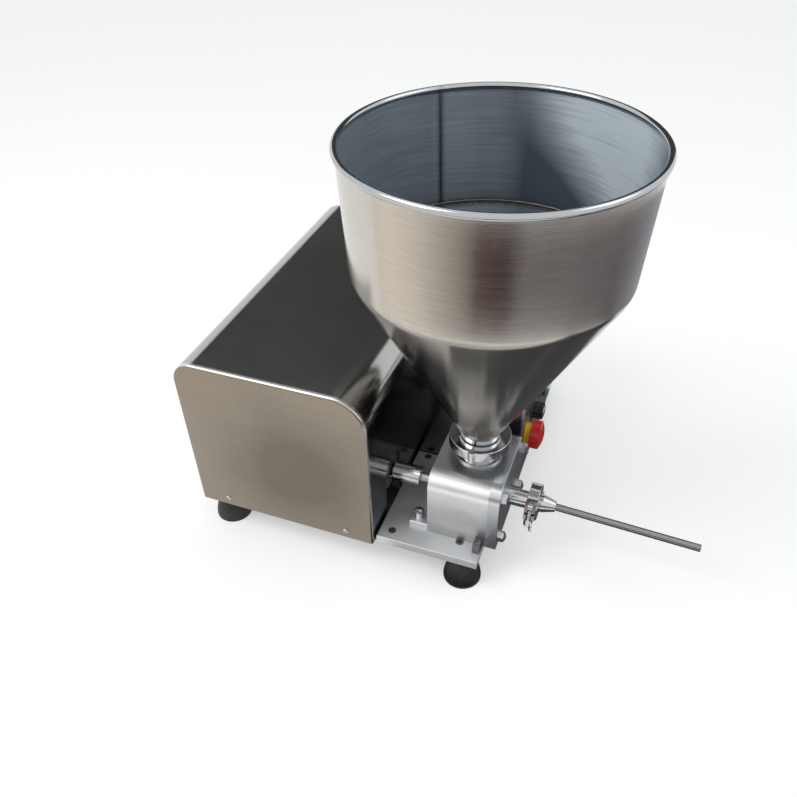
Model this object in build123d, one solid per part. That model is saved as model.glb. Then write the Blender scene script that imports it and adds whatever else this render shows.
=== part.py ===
from build123d import *
import math
import os

# Filling injector: a gear pump under a hopper, driven by a gear motor in a sheet steel casing.
# Lengths are in millimetres. The drawing datum is the casing's right wall (x = 0), its front
# face (y = 0) and its lower edge (z = 0); the finished pieces are moved to the row's origin,
# the middle of the machine's footprint at the underside of the feet.

# Casing sheet metal
casing_width = 258.0
casing_depth = 455.0
casing_height = 240.0
casing_left_corner = 30.0
casing_right_corner = 44.0
sheet = 1.5
panel_thickness = 2.0
panel_rim = 6.0
panel_rim_round = 3.5
panel_edge_round = 0.8
cover_lip = 14.0
drive_window_radius = 27.0
cable_hole_radius = 14.0
cable_hole_height = 75.0
cable_hole_setback = 120.0

# Bottom plate with its cleats
bottom_thickness = 4.0
bottom_inset = 6.0
bottom_front = 12.0
cleat_width = 16.0
cleat_height = 25.0
cleat_foot = 14.0
cleat_thickness = 3.0
front_screw_inset_left = 43.0
front_screw_inset_right = 38.0
panel_screw_height = 13.0

# Control box beside the casing
control_width = 153.0
control_front = 178.0
control_height = 205.0
control_corner = 25.0
control_lip = 12.0
control_screw_inset = 48.0

# Pump plate
plate_gap = 2.8
plate_length = 136.7
plate_front = 6.6
plate_rear_gap = 0.5
plate_thickness = 12.0
plate_chamfer = 0.8
plate_screw_left = 16.6
plate_screw_right = 106.5
plate_screw_left_front = 15.6
plate_screw_left_rear = 7.3
plate_screw_right_front = 26.4
plate_screw_right_rear = 6.5

# Rubber feet
foot_height = 36.0
foot_base_radius = 25.0
foot_shoulder_radius = 22.0
foot_top_radius = 15.0
foot_lip = 4.0
foot_recess_radius = 9.0
foot_recess_depth = 20.0
foot_left_inset = 30.0
foot_right_inset = 22.5
foot_front_inset = 24.0
foot_rear_inset = 30.0

# Screws and nuts
small_shank = 2.0
small_head = 3.8
small_head_height = 2.2
small_length = 7.0
small_clearance = 0.3
medium_shank = 3.0
medium_head = 5.0
medium_head_height = 6.0
large_shank = 4.0
large_head = 6.5
large_head_height = 8.0
large_flat_head = 5.0
nut_across_flats = 13.0
nut_height = 6.5
socket_share = 0.45
counterbore_gap = 0.5

# Gear pump
pump_left = 63.5
pump_length = 78.5
pump_front = 36.0
pump_depth = 124.0
pump_height = 101.0
pump_round = 21.0
end_cover_thickness = 14.5
gear_module = 3.0
gear_teeth = 12
gear_width = 53.8
gear_end_gap = 0.1
gear_tip_gap = 0.1
drive_height = 52.5
pump_shaft_radius = 6.0
bush_wall = 3.0
bush_length = 16.0
bush_cover_length = 9.0
seal_wall = 7.0
seal_length = 7.0
inlet_offset = 47.5
inlet_shift = 4.0
inlet_radius = 21.0
inlet_floor = 5.5
discharge_half_width = 8.0
discharge_depth = 22.5
cover_pocket_depth = 7.0
outlet_drop = 13.0
cover_seal_reach = 3.4
cover_seal_width = 3.0
cover_seal_depth = 2.0
stud_inset = 14.0
stud_top_inset = 17.0
stud_bottom_inset = 12.0
stud_seat = 20.0
stud_reach = 6.0
cap_nut_length = 9.5
cap_nut_ball = 9.0

# Gear teeth
pressure_angle = math.radians(20.0)
addendum_share = 0.9
dedendum_share = 1.25
backlash = 0.3
shaft_clearance = 0.04

# Coupling between the gear motor and the pump
sleeve_radius = 13.0
sleeve_start = -2.0
sleeve_end = 41.0
sleeve_slot_depth = 13.0
cross_pin_radius = 2.6
cross_pin_setback = 6.0
pump_shaft_entry = 11.0
sleeve_bore_gap = 0.3

# Gear motor
box_module = 1.5
motor_pinion_teeth = 14
counter_gear_teeth = 50
counter_pinion_teeth = 16
output_gear_teeth = 48
first_stage_width = 12.0
second_stage_width = 14.0
output_shaft_radius = 8.0
counter_shaft_radius = 7.0
rotor_shaft_radius = 7.0
gearbox_right = 22.0
gearbox_length = 62.0
gearbox_wall = 6.0
gearbox_end_wall = 12.0
gearbox_gear_gap = 3.0
gearbox_lug = 14.0
gearbox_lug_length = 22.0
gearbox_lug_height = 8.0
output_boss_radius = 28.0
output_boss_end = 4.0
bearing_width = 9.0
bearing_wall = 10.0
motor_flange = 12.0
motor_radius = 45.0
motor_wall = 4.0
motor_end_gap = 2.0
end_bell_thickness = 12.0
end_bell_foot_width = 60.0
stator_length = 80.0
stator_wall = 10.0
winding_length = 12.0
winding_wall = 7.0
air_gap = 1.0
rotor_length = 70.0

# Hopper
hopper_wall = 1.5
hopper_lower_radius = 150.0
hopper_upper_radius = 156.6
hopper_cylinder_height = 135.5
hopper_cone_height = 233.5
rim_bead_radius = 4.0
neck_radius = 25.5
neck_length = 15.0
spigot_height = 26.0
spigot_seat = 8.0
spigot_collar_radius = 30.0
spigot_collar_height = 3.0

# Ferrules and hinged clamps
gasket = 2.0
ferrule_rim = 1.6
ferrule_slope = math.tan(math.radians(20.0))
inlet_ferrule_radius = 32.0
outlet_ferrule_radius = 17.0
clamp_width = 14.0
clamp_wall = 6.4
clamp_groove_gap = 0.6
clamp_side_gap = 0.25
clamp_grip = 4.5
clamp_split = 3.0
hinge_radius = 4.5
hinge_sink = 0.5
clamp_pin_radius = 2.5
pin_head = 4.2
pin_head_height = 1.5
knuckle_gap = 0.15
ear_half_width = 7.0
ear_reach = 8.5
ear_end = 5.5
ear_root = 4.0
bolt_pivot_depth = 8.0
nut_seat_radius = 17.5
nut_seat_gap = 0.5
swing_bolt_radius = 3.0
swing_eye_radius = 6.0
swing_slot_gap = 0.35
swing_bolt_tail = 11.0
wing_hub_radius = 6.0
wing_hub_top_radius = 5.0
wing_hub_height = 9.0
wing_span = 9.5
wing_height = 13.0
wing_thickness = 2.6
wing_rest_turn = 55.0
outlet_clamp_tilt = 20.0

# Outlet and filling needle
outlet_tube_radius = 11.5
outlet_bore_radius = 9.0
outlet_length = 33.0
reducer_neck = 11.0
reducer_taper = 16.0
reducer_tip_radius = 7.0
needle_radius = 4.75
needle_wall = 0.75
needle_length = 187.0
needle_seat = 6.0
needle_droop = 2.8

# Pump hold-downs
toe_length = 26.0
toe_front = 3.5
toe_depth = 27.5
toe_height = 8.0
toe_bolt_inset = 9.5
stop_length = 10.0
stop_depth = 15.0
stop_height = 14.0
stop_screw_sink = 3.0
stop_end_inset = 0.5
hold_down_chamfer = 0.8
hold_down_bolt_depth = 10.0

# Controls on the control panel, measured back from its front edge and up from its lower edge
estop_setback = 18.0
estop_height = 78.0
estop_collar_radius = 14.2
estop_collar_length = 10.5
estop_barrel_radius = 11.0
estop_barrel_length = 24.0
estop_block = 30.0
estop_block_width = 24.0
estop_block_length = 28.0
estop_head_radius = 20.0
estop_head_length = 17.0
estop_skirt = 7.0
estop_skirt_gap = 0.5
estop_dome = 5.0
estop_rest_gap = 4.5
estop_stem_radius = 7.0
estop_stem_length = 12.0
knob_setback = 64.0
knob_height = 82.0
knob_radius = 12.0
knob_length = 13.0
knob_flute_radius = 2.0
knob_flutes = 12
knob_gap = 0.5
dial_radius = 17.0
dial_thickness = 1.0
spindle_radius = 3.0
spindle_length = 10.0
bush_radius = 5.0
pot_radius = 8.5
pot_length = 14.0
button_setback = 112.0
button_height = 82.0
button_bezel_radius = 14.5
button_bezel_height = 3.5
button_barrel_radius = 11.0
button_barrel_length = 30.0
button_cap_radius = 9.5
button_cap_height = 12.0
button_cap_reach = 5.0
button_gap = 0.35
switch_hole_gap = 0.2

# Fittings on the rear panel
inlet_from_left = 60.0
inlet_height = 60.0
inlet_width = 28.0
inlet_tall = 48.0
inlet_flange = 5.0
inlet_flange_thickness = 2.5
inlet_depth = 26.0
inlet_wall = 2.0
inlet_corner = 3.0
inlet_contact = 1.2
rocker_width = 14.0
rocker_tall = 20.0
rocker_depth = 7.0
rocker_gap = 0.4
rocker_crown = 3.0
rocker_taper = 1.6
rocker_pivot_radius = 1.5
rocker_tilt = 8.0
rocker_shift = 12.0
socket_from_left = 120.0
socket_radius = 9.0
socket_ring_radius = 13.0
socket_ring_thickness = 2.5
socket_reach = 8.0
socket_depth = 16.0
socket_bore_radius = 6.5
vent_count = 9
vent_length = 70.0
vent_width = 3.5
vent_pitch = 11.0
vent_height = 110.0

# Speed controller in the control box
controller_length = 84.0
controller_depth = 120.0
controller_height = 46.0
controller_gap = 18.0
controller_rear_gap = 28.0
controller_fins = 7
controller_fin_width = 5.0
controller_fin_height = 12.0

# Derived positions
plate_left = plate_gap
plate_right = plate_left + plate_length
plate_back = control_front - plate_rear_gap
pump_right = pump_left + pump_length
pump_middle = pump_front + pump_depth / 2
pump_floor = plate_thickness
pump_top = pump_floor + pump_height
cover_right = pump_right + end_cover_thickness
drive_z = plate_thickness + drive_height
gear_pitch_radius = gear_module * gear_teeth / 2
gear_tip_radius = gear_pitch_radius + addendum_share * gear_module
cavity_radius = gear_tip_radius + gear_tip_gap
drive_y = pump_middle - gear_pitch_radius
idler_y = pump_middle + gear_pitch_radius
gear_left = pump_right - gear_end_gap - gear_width
cavity_left = gear_left - gear_end_gap
bush_radius_outer = pump_shaft_radius + bush_wall
seal_radius = pump_shaft_radius + seal_wall
inlet_x = pump_left + inlet_offset
inlet_y = pump_middle + inlet_shift
outlet_z = drive_z - outlet_drop
clamp_z = pump_top + spigot_height
neck_top = clamp_z + neck_length
weld_z = neck_top + hopper_cone_height
rim_z = weld_z + hopper_cylinder_height
outlet_clamp_x = cover_right + outlet_length
needle_root = outlet_clamp_x + gasket / 2 + reducer_neck + reducer_taper - needle_seat
foot_bottom = -bottom_thickness - foot_height
socket_back = casing_depth + socket_reach
needle_tip = needle_root + needle_length * math.cos(math.radians(needle_droop))
needle_tip = needle_tip + needle_radius * math.sin(math.radians(needle_droop))
hopper_front = inlet_y - hopper_upper_radius - rim_bead_radius
stage_distance = box_module * (counter_pinion_teeth + output_gear_teeth) / 2
counter_z = drive_z + stage_distance
panel_face = control_width

base = (Align.CENTER, Align.CENTER, Align.MIN)
east = (1, 0, 0)
west = (-1, 0, 0)
north = (0, 1, 0)
south = (0, -1, 0)
up = (0, 0, 1)
down = (0, 0, -1)
origin = Location((-(needle_tip - casing_width) / 2, -(hopper_front + socket_back) / 2, -foot_bottom))
pieces = {}


def block(x0, x1, y0, y1, z0, z1):
    middle = Pos((x0 + x1) / 2, (y0 + y1) / 2, (z0 + z1) / 2)
    return middle * Box(x1 - x0, y1 - y0, z1 - z0)


def rod(start, direction, radius, length):
    return Plane(start, z_dir=direction).location * Cylinder(radius, length, align=base)


def turned(points, start, direction):
    # points are pairs of radius and distance along the axis
    outline = Polyline([(r, 0, h) for r, h in points], close=True)
    return Plane(start, z_dir=direction).location * revolve(make_face(outline), Axis.Z)


def arch_top(width, height, left_corner, right_corner):
    # upright rectangle standing on the X axis with its two upper corners rounded
    outline = Pos(width / 2, height / 2) * Rectangle(width, height)
    outline = fillet(outline.vertices().group_by(Axis.Y)[-1].sort_by(Axis.X)[0], left_corner)
    return fillet(outline.vertices().group_by(Axis.Y)[-1].sort_by(Axis.X)[-1], right_corner)


def wrap(width, height, left_corner, right_corner, lip, length):
    # folded sheet: two walls and a top, with lips turned in along the lower edges
    inner = arch_top(width - 2 * sheet, height - sheet, left_corner - sheet, right_corner - sheet)
    profile = arch_top(width, height, left_corner, right_corner) - Pos(sheet, 0) * inner
    profile += Pos(lip / 2, sheet / 2) * Rectangle(lip, sheet)
    profile += Pos(width - lip / 2, sheet / 2) * Rectangle(lip, sheet)
    return extrude(profile, length)


def hex_prism(start, direction, across_flats, height):
    face = RegularPolygon(across_flats / 2, 6, major_radius=False)
    return Plane(start, z_dir=direction).location * extrude(face, height)


def socket_screw(seat, direction, shank, head, head_height, length):
    # cylinder-head screw: direction points from the seat out to the head
    inward = tuple(-value for value in direction)
    screw = rod(seat, direction, head, head_height) + rod(seat, inward, shank, length)
    rim = tuple(s + d * head_height for s, d in zip(seat, direction))
    return screw - hex_prism(rim, inward, 2 * head * socket_share, head_height / 2)


def button_screw(seat, direction):
    inward = tuple(-value for value in direction)
    flat = small_head * socket_share
    dome = [(0, 0), (small_head, 0), (small_head, small_head_height / 3),
            (flat * 1.3, small_head_height), (0, small_head_height)]
    screw = turned(dome, seat, direction) + rod(seat, inward, small_shank, small_length)
    rim = tuple(s + d * small_head_height for s, d in zip(seat, direction))
    return screw - hex_prism(rim, inward, 2 * flat, small_head_height / 2)


def gear_face(module, teeth, mate_angle, tooth_to_mate):
    # involute outline: each flank is one arc through three points of the involute
    pitch = module * teeth / 2
    ground = pitch * math.cos(pressure_angle)
    tip = pitch + addendum_share * module
    root = pitch - dedendum_share * module
    start = max(root, ground)
    half = math.pi / (2 * teeth) - backlash / (4 * pitch)
    half += math.tan(pressure_angle) - pressure_angle

    def spread(radius):
        angle = math.acos(ground / radius)
        return half - (math.tan(angle) - angle)

    def point(radius, angle):
        return (radius * math.cos(angle), radius * math.sin(angle))

    edges = []
    step = 2 * math.pi / teeth
    first = mate_angle if tooth_to_mate else mate_angle + step / 2
    middle = (start + tip) / 2
    foot_angle = spread(start)
    for tooth in range(teeth):
        axis = first + tooth * step
        corners = {}
        for side in (-1, 1):
            low = point(start, axis + side * foot_angle)
            high = point(tip, axis + side * spread(tip))
            edges.append(ThreePointArc(low, point(middle, axis + side * spread(middle)), high))
            corners[side] = (low, high)
            if root < start:
                edges.append(Line(point(root, axis + side * foot_angle), low))
        edges.append(ThreePointArc(corners[-1][1], point(tip, axis), corners[1][1]))
        floor = min(root, start)
        bottom = (point(floor, axis + foot_angle), point(floor, axis + step / 2),
                  point(floor, axis + step - foot_angle))
        edges.append(ThreePointArc(*bottom))
    return make_face(edges)


def gear(x, y, z, module, teeth, width, mate_angle, tooth_to_mate):
    # spur gear about an axis along X; angles start at +Z and turn towards -Y
    face = gear_face(module, teeth, math.radians(mate_angle), tooth_to_mate)
    plane = Plane((x, y, z), x_dir=up, z_dir=east)
    return plane.location * extrude(face, width)


def group(solids):
    return Compound(children=list(solids))


# Screw places on the panels
front_screws = [(front_screw_inset_left - casing_width, panel_screw_height),
                (-front_screw_inset_right, panel_screw_height)]
control_screws = [control_front + control_screw_inset, casing_depth - control_screw_inset]
foot_places = [(foot_left_inset - casing_width, foot_front_inset),
               (foot_left_inset - casing_width, casing_depth - foot_rear_inset),
               (plate_right - foot_right_inset, foot_front_inset),
               (plate_right - foot_right_inset, casing_depth - foot_rear_inset)]
plate_screws = [(plate_left + plate_screw_left, plate_front + plate_screw_left_front),
                (plate_left + plate_screw_left, plate_back - plate_screw_left_rear),
                (plate_left + plate_screw_right, plate_front + plate_screw_right_front),
                (plate_left + plate_screw_right, plate_back - plate_screw_right_rear)]
toe_bolt = (pump_left - toe_length + toe_bolt_inset, pump_front + toe_front + toe_depth / 2)
stop_left = plate_right - stop_end_inset - stop_length
stop_bolt = (stop_left + stop_length / 2, pump_front - stop_depth / 2)


def bottom_plate():
    plate = block(bottom_inset - casing_width, plate_right - bottom_inset,
                  bottom_front, casing_depth - bottom_inset, -bottom_thickness, 0)
    half = cleat_width / 2
    inside = casing_depth - panel_thickness
    for x, z in front_screws:
        front_y = panel_thickness
        plate += block(x - half, x + half, front_y, front_y + cleat_foot, 0, cleat_thickness)
        plate += block(x - half, x + half, front_y, front_y + cleat_thickness, 0, cleat_height)
        plate += block(x - half, x + half, inside - cleat_foot, inside, 0, cleat_thickness)
        plate += block(x - half, x + half, inside - cleat_thickness, inside, 0, cleat_height)
        plate -= rod((x, 0, z), north, small_shank, casing_depth)
    right = panel_face - panel_thickness
    for y in control_screws:
        reach = right - plate_right + bottom_inset + cleat_foot
        plate += block(right - reach, right, y - half, y + half, 0, cleat_thickness)
        plate += block(right - cleat_thickness, right, y - half, y + half, 0, cleat_height)
        plate -= rod((panel_face, y, panel_screw_height), west, small_shank, reach)
    for x, y in foot_places:
        plate -= rod((x, y, -bottom_thickness), up, large_shank, bottom_thickness)
    for x, y in plate_screws:
        plate -= rod((x, y, -bottom_thickness), up, medium_shank, bottom_thickness)
    return plate


def main_cover():
    length = casing_depth - 2 * panel_rim
    plane = Plane((-casing_width, casing_depth - panel_rim, 0), x_dir=east, z_dir=south)
    cover = plane.location * wrap(casing_width, casing_height, casing_left_corner, casing_right_corner,
                                  cover_lip, length)
    cut = rod((-cover_lip - sheet, drive_y, drive_z), east, drive_window_radius, cover_lip + 2 * sheet)
    cut += block(-cover_lip - sheet, sheet, drive_y - drive_window_radius,
                 drive_y + drive_window_radius, -sheet, drive_z)
    cover -= cut
    hole = (-2 * sheet, control_front + cable_hole_setback, cable_hole_height)
    return cover - rod(hole, east, cable_hole_radius, 3 * sheet)


def end_panel(width, height, left_corner, right_corner, plane, outward):
    # pressed panel: a web with a rim turned back against the folded cover, rounded over outside
    inner_width = width - 2 * panel_thickness
    inner = arch_top(inner_width, height - panel_thickness, left_corner - panel_thickness,
                     right_corner - panel_thickness)
    panel = extrude(arch_top(width, height, left_corner, right_corner), panel_rim)
    panel -= Pos(panel_thickness, 0) * extrude(inner, panel_rim - panel_thickness)
    panel = plane.location * panel
    edges = panel.faces().sort_by(outward)[-1].edges()
    lowest = edges.sort_by(Axis.Z)[0]
    return fillet([edge for edge in edges if edge != lowest], panel_rim_round)


def front_panel():
    plane = Plane((-casing_width, panel_rim, 0), x_dir=east, z_dir=south)
    panel = end_panel(casing_width, casing_height, casing_left_corner, casing_right_corner, plane,
                      Axis((0, 0, 0), south))
    for x, z in front_screws:
        panel -= rod((x, 0, z), north, small_shank + small_clearance, panel_thickness)
    return panel


def rear_panel():
    inside = casing_depth - panel_thickness
    plane = Plane((0, casing_depth - panel_rim, 0), x_dir=west, z_dir=north)
    panel = end_panel(casing_width, casing_height, casing_right_corner, casing_left_corner, plane, Axis.Y)
    for x, z in front_screws:
        panel -= rod((x, inside, z), north, small_shank + small_clearance, panel_thickness)
    x = inlet_from_left - casing_width
    panel -= inlet_prism(x, inside, inlet_width, inlet_tall, panel_thickness)
    x = socket_from_left - casing_width
    panel -= rod((x, inside, inlet_height), north, socket_radius, panel_thickness)
    for row in range(vent_count):
        slot = SlotOverall(vent_length, vent_width)
        place = Plane((-casing_width / 2, inside, vent_height + row * vent_pitch), x_dir=west, z_dir=north)
        panel -= place.location * extrude(slot, panel_thickness)
    return panel


def inlet_prism(x, y, width, tall, depth):
    face = RectangleRounded(width, tall, inlet_corner)
    plane = Plane((x, y, inlet_height), x_dir=west, z_dir=north)
    return plane.location * extrude(face, depth)


def control_box_cover():
    depth = casing_depth - control_front
    plane = Plane((0, control_front, 0), x_dir=north, z_dir=east)
    return plane.location * wrap(depth, control_height, control_corner, control_corner, control_lip,
                                 panel_face - panel_rim)


def control_panel():
    depth = casing_depth - control_front
    inside = panel_face - panel_thickness
    plane = Plane((panel_face - panel_rim, control_front, 0), x_dir=north, z_dir=east)
    panel = end_panel(depth, control_height, control_corner, control_corner, plane, Axis.X)
    holes = [(estop_setback, estop_height, estop_barrel_radius),
             (knob_setback, knob_height, bush_radius),
             (button_setback, button_height, button_barrel_radius)]
    for setback, height, radius in holes:
        panel -= rod((inside, control_front + setback, height), east, radius + switch_hole_gap,
                     panel_thickness)
    for y in control_screws:
        panel -= rod((inside, y, panel_screw_height), east, small_shank + small_clearance, panel_thickness)
    return panel


def panel_screws():
    screws = []
    for x, z in front_screws:
        screws.append(button_screw((x, 0, z), south))
        screws.append(button_screw((x, casing_depth, z), north))
    for y in control_screws:
        screws.append(button_screw((panel_face, y, panel_screw_height), east))
    return group(screws)


def rubber_feet():
    hole = large_shank
    top = foot_height
    side = ThreePointArc((foot_base_radius, 0, foot_lip), (foot_shoulder_radius, 0, foot_height / 2),
                         (foot_top_radius, 0, top))
    rest = Polyline([(foot_top_radius, 0, top), (hole, 0, top), (hole, 0, foot_recess_depth),
                     (foot_recess_radius, 0, foot_recess_depth), (foot_recess_radius, 0, 0),
                     (foot_base_radius, 0, 0), (foot_base_radius, 0, foot_lip)])
    foot = revolve(make_face([side, rest]), Axis.Z)
    return group(Pos(x, y, foot_bottom) * foot for x, y in foot_places)


def foot_bolts():
    solids = []
    seat = foot_bottom + foot_recess_depth
    for x, y in foot_places:
        under_plate = x > 0 and y < control_front
        length = foot_height - foot_recess_depth + bottom_thickness + nut_height
        bolt = hex_prism((x, y, seat), down, nut_across_flats, large_flat_head)
        solids.append(bolt + rod((x, y, seat), up, large_shank, length))
        if not under_plate:
            nut = hex_prism((x, y, 0), up, nut_across_flats, nut_height)
            solids.append(nut - rod((x, y, 0), up, large_shank, nut_height))
    return group(solids)


def base_plate():
    plate = block(plate_left, plate_right, plate_front, plate_back, 0, plate_thickness)
    plate = chamfer(plate.faces().sort_by(Axis.Z)[-1].edges(), plate_chamfer)
    depth = medium_head_height + counterbore_gap
    for x, y in plate_screws:
        plate -= rod((x, y, 0), up, medium_shank, plate_thickness)
        plate -= rod((x, y, plate_thickness - depth), up, medium_head + counterbore_gap, depth)
    for x, y in foot_places:
        if x > 0 and y < control_front:
            plate -= rod((x, y, 0), up, large_shank, nut_height)
    plate -= rod((*toe_bolt, plate_thickness), down, large_shank, hold_down_bolt_depth)
    plate -= rod((*stop_bolt, plate_thickness), down, medium_shank, hold_down_bolt_depth)
    return plate


def base_plate_screws():
    seat = plate_thickness - medium_head_height - counterbore_gap
    return group(socket_screw((x, y, seat), up, medium_shank, medium_head, medium_head_height,
                              seat + bottom_thickness) for x, y in plate_screws)


def pump_profile(x, thickness):
    plane = Plane((x, pump_front, pump_floor), x_dir=north, z_dir=east)
    return plane.location * extrude(arch_top(pump_depth, pump_height, pump_round, pump_round), thickness)


stud_places = [(y, z) for y in (pump_front + stud_inset, pump_front + pump_depth - stud_inset)
               for z in (pump_floor + stud_bottom_inset, pump_top - stud_top_inset)]


def pump_body():
    body = pump_profile(pump_left, pump_length)
    for y in (drive_y, idler_y):
        body -= rod((cavity_left, y, drive_z), east, cavity_radius, pump_right - cavity_left)
        body -= rod((cavity_left, y, drive_z), west, bush_radius_outer, bush_length)
    body -= rod((pump_left, drive_y, drive_z), east, pump_shaft_radius + gear_tip_gap, pump_length)
    body -= rod((pump_left, drive_y, drive_z), east, seal_radius, seal_length)
    body -= rod((inlet_x, inlet_y, pump_top), down, inlet_radius, pump_top - drive_z - inlet_floor)
    body -= rod((inlet_x, inlet_y, pump_top), down, neck_radius, spigot_seat)
    body -= block(cavity_left, pump_right, pump_middle - discharge_half_width,
                  pump_middle + discharge_half_width, drive_z - discharge_depth, drive_z)
    for y, z in stud_places:
        body -= rod((pump_right, y, z), west, large_shank, stud_seat)
    return body


def seal_ring(reach, depth):
    # oval ring round both gear bores, lying in the end cover's inner face
    straight = idler_y - drive_y
    slot = SlotCenterToCenter(straight, 2 * reach)
    plane = Plane((pump_right, pump_middle, drive_z), x_dir=north, z_dir=east)
    return plane.location * extrude(slot, depth)


def cover_seal():
    inner = cavity_radius + cover_seal_reach
    return seal_ring(inner + cover_seal_width, cover_seal_depth) - seal_ring(inner, cover_seal_depth)


def pump_end_cover():
    cover = pump_profile(pump_right, end_cover_thickness)
    rim = cover.faces().sort_by(Axis.X)[-1].edges()
    cover = fillet(rim, panel_edge_round)
    cover -= cover_seal()
    for y in (drive_y, idler_y):
        cover -= rod((pump_right, y, drive_z), east, bush_radius_outer, bush_cover_length)
    cover -= block(pump_right, pump_right + cover_pocket_depth, pump_middle - discharge_half_width,
                   pump_middle + discharge_half_width, drive_z - discharge_depth, outlet_z)
    cover -= rod((pump_right, pump_middle, outlet_z), east, outlet_bore_radius, end_cover_thickness)
    for y, z in stud_places:
        cover -= rod((pump_right, y, z), east, large_shank + small_clearance, end_cover_thickness)
    return cover


def pump_studs():
    length = stud_seat + end_cover_thickness + stud_reach
    return group(rod((pump_right - stud_seat, y, z), east, large_shank, length) for y, z in stud_places)


def pump_cover_nuts():
    nuts = []
    ball_x = cover_right + cap_nut_length - cap_nut_ball
    for y, z in stud_places:
        nut = hex_prism((cover_right, y, z), east, nut_across_flats, cap_nut_length)
        nut &= Pos(ball_x, y, z) * Sphere(cap_nut_ball)
        nuts.append(nut - rod((cover_right, y, z), east, large_shank, stud_reach))
    return group(nuts)


def gear_bushes():
    bore = pump_shaft_radius + shaft_clearance
    bushes = []
    for y in (drive_y, idler_y):
        for start, direction, length in ((cavity_left, west, bush_length),
                                         (pump_right, east, bush_cover_length)):
            bush = rod((start, y, drive_z), direction, bush_radius_outer, length)
            bushes.append(bush - rod((start, y, drive_z), direction, bore, length))
    return group(bushes)


def shaft_seal():
    start = (pump_left, drive_y, drive_z)
    seal = rod(start, east, seal_radius, seal_length)
    return seal - rod(start, east, pump_shaft_radius + shaft_clearance, seal_length)


def pump_drive_gear():
    teeth = gear(gear_left, drive_y, drive_z, gear_module, gear_teeth, gear_width, -90, True)
    start = sleeve_end - pump_shaft_entry
    length = pump_right + bush_cover_length - gear_end_gap - start
    shaft = teeth + rod((start, drive_y, drive_z), east, pump_shaft_radius, length)
    return shaft - cross_pin()


def pump_idler_gear():
    teeth = gear(gear_left, idler_y, drive_z, gear_module, gear_teeth, gear_width, 90, False)
    start = cavity_left - bush_length + gear_end_gap
    length = pump_right + bush_cover_length - gear_end_gap - start
    return teeth + rod((start, idler_y, drive_z), east, pump_shaft_radius, length)


def cross_pin():
    x = sleeve_end - cross_pin_setback
    return rod((x, drive_y, drive_z - sleeve_radius), up, cross_pin_radius, 2 * sleeve_radius)


def coupling_sleeve():
    axis = (drive_y, drive_z)
    sleeve = rod((sleeve_start, *axis), east, sleeve_radius, sleeve_end - sleeve_start)
    sleeve = fillet(sleeve.edges().filter_by(GeomType.CIRCLE), panel_edge_round)
    entry = pump_shaft_entry + sleeve_bore_gap
    sleeve -= rod((sleeve_end, *axis), west, pump_shaft_radius + sleeve_bore_gap, entry)
    sleeve -= rod((sleeve_start, *axis), east, output_shaft_radius, sleeve_end - sleeve_start - entry)
    half = cross_pin_radius + sleeve_bore_gap
    sleeve -= block(sleeve_end - sleeve_slot_depth, sleeve_end, drive_y - half, drive_y + half,
                    drive_z - sleeve_radius, drive_z + sleeve_radius)
    return sleeve


# Gear motor: the output shaft and the rotor lie on the pump's drive axis, the countershaft above
case_left = -gearbox_right - gearbox_length
end_wall_left = -gearbox_right - gearbox_end_wall
counter_gear_tip = box_module * (counter_gear_teeth / 2 + addendum_share)
case_half = counter_gear_tip + gearbox_gear_gap + gearbox_wall
case_top = counter_z + counter_gear_tip + gearbox_gear_gap + gearbox_wall
flange_left = case_left - motor_flange
first_stage_x = case_left + gearbox_gear_gap
second_stage_x = end_wall_left - gearbox_gear_gap - second_stage_width
bell_left = cover_lip + motor_end_gap - casing_width
motor_length = flange_left - bell_left - end_bell_thickness


def gearbox_case():
    case = block(case_left, -gearbox_right, drive_y - case_half, drive_y + case_half, 0, case_top)
    case = fillet(case.edges().filter_by(Axis.X).group_by(Axis.Z)[-1], gearbox_wall)
    case += rod((-gearbox_right, drive_y, drive_z), east, output_boss_radius, gearbox_right - output_boss_end)
    wall = case_half - gearbox_wall
    case -= block(case_left, end_wall_left, drive_y - wall, drive_y + wall,
                  gearbox_wall, case_top - gearbox_wall)
    for side in (-1, 1):
        near = drive_y + side * case_half
        far = near + side * gearbox_lug
        case += block(case_left, case_left + gearbox_lug_length, min(near, far), max(near, far),
                      0, gearbox_lug_height)
    boss = output_shaft_radius + bearing_wall
    case -= rod((end_wall_left, drive_y, drive_z), east, output_shaft_radius + gearbox_gear_gap,
                gearbox_right + gearbox_end_wall)
    for start, direction in ((end_wall_left, east), (-output_boss_end, west)):
        case -= rod((start, drive_y, drive_z), direction, boss, bearing_width)
    seat = counter_shaft_radius + bearing_wall
    return case - rod((end_wall_left, drive_y, counter_z), east, seat, bearing_width)


def gearbox_countershaft():
    shaft = rod((case_left - bearing_width, drive_y, counter_z), east, counter_shaft_radius,
                end_wall_left - case_left + 2 * bearing_width)
    shaft += gear(first_stage_x, drive_y, counter_z, box_module, counter_gear_teeth,
                  first_stage_width, 180, True)
    return shaft + gear(second_stage_x, drive_y, counter_z, box_module, counter_pinion_teeth,
                        second_stage_width, 180, True)


def output_shaft():
    end = sleeve_end - pump_shaft_entry - sleeve_bore_gap
    shaft = rod((second_stage_x, drive_y, drive_z), east, output_shaft_radius, end - second_stage_x)
    return shaft + gear(second_stage_x, drive_y, drive_z, box_module, output_gear_teeth,
                        second_stage_width, 0, False)


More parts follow.
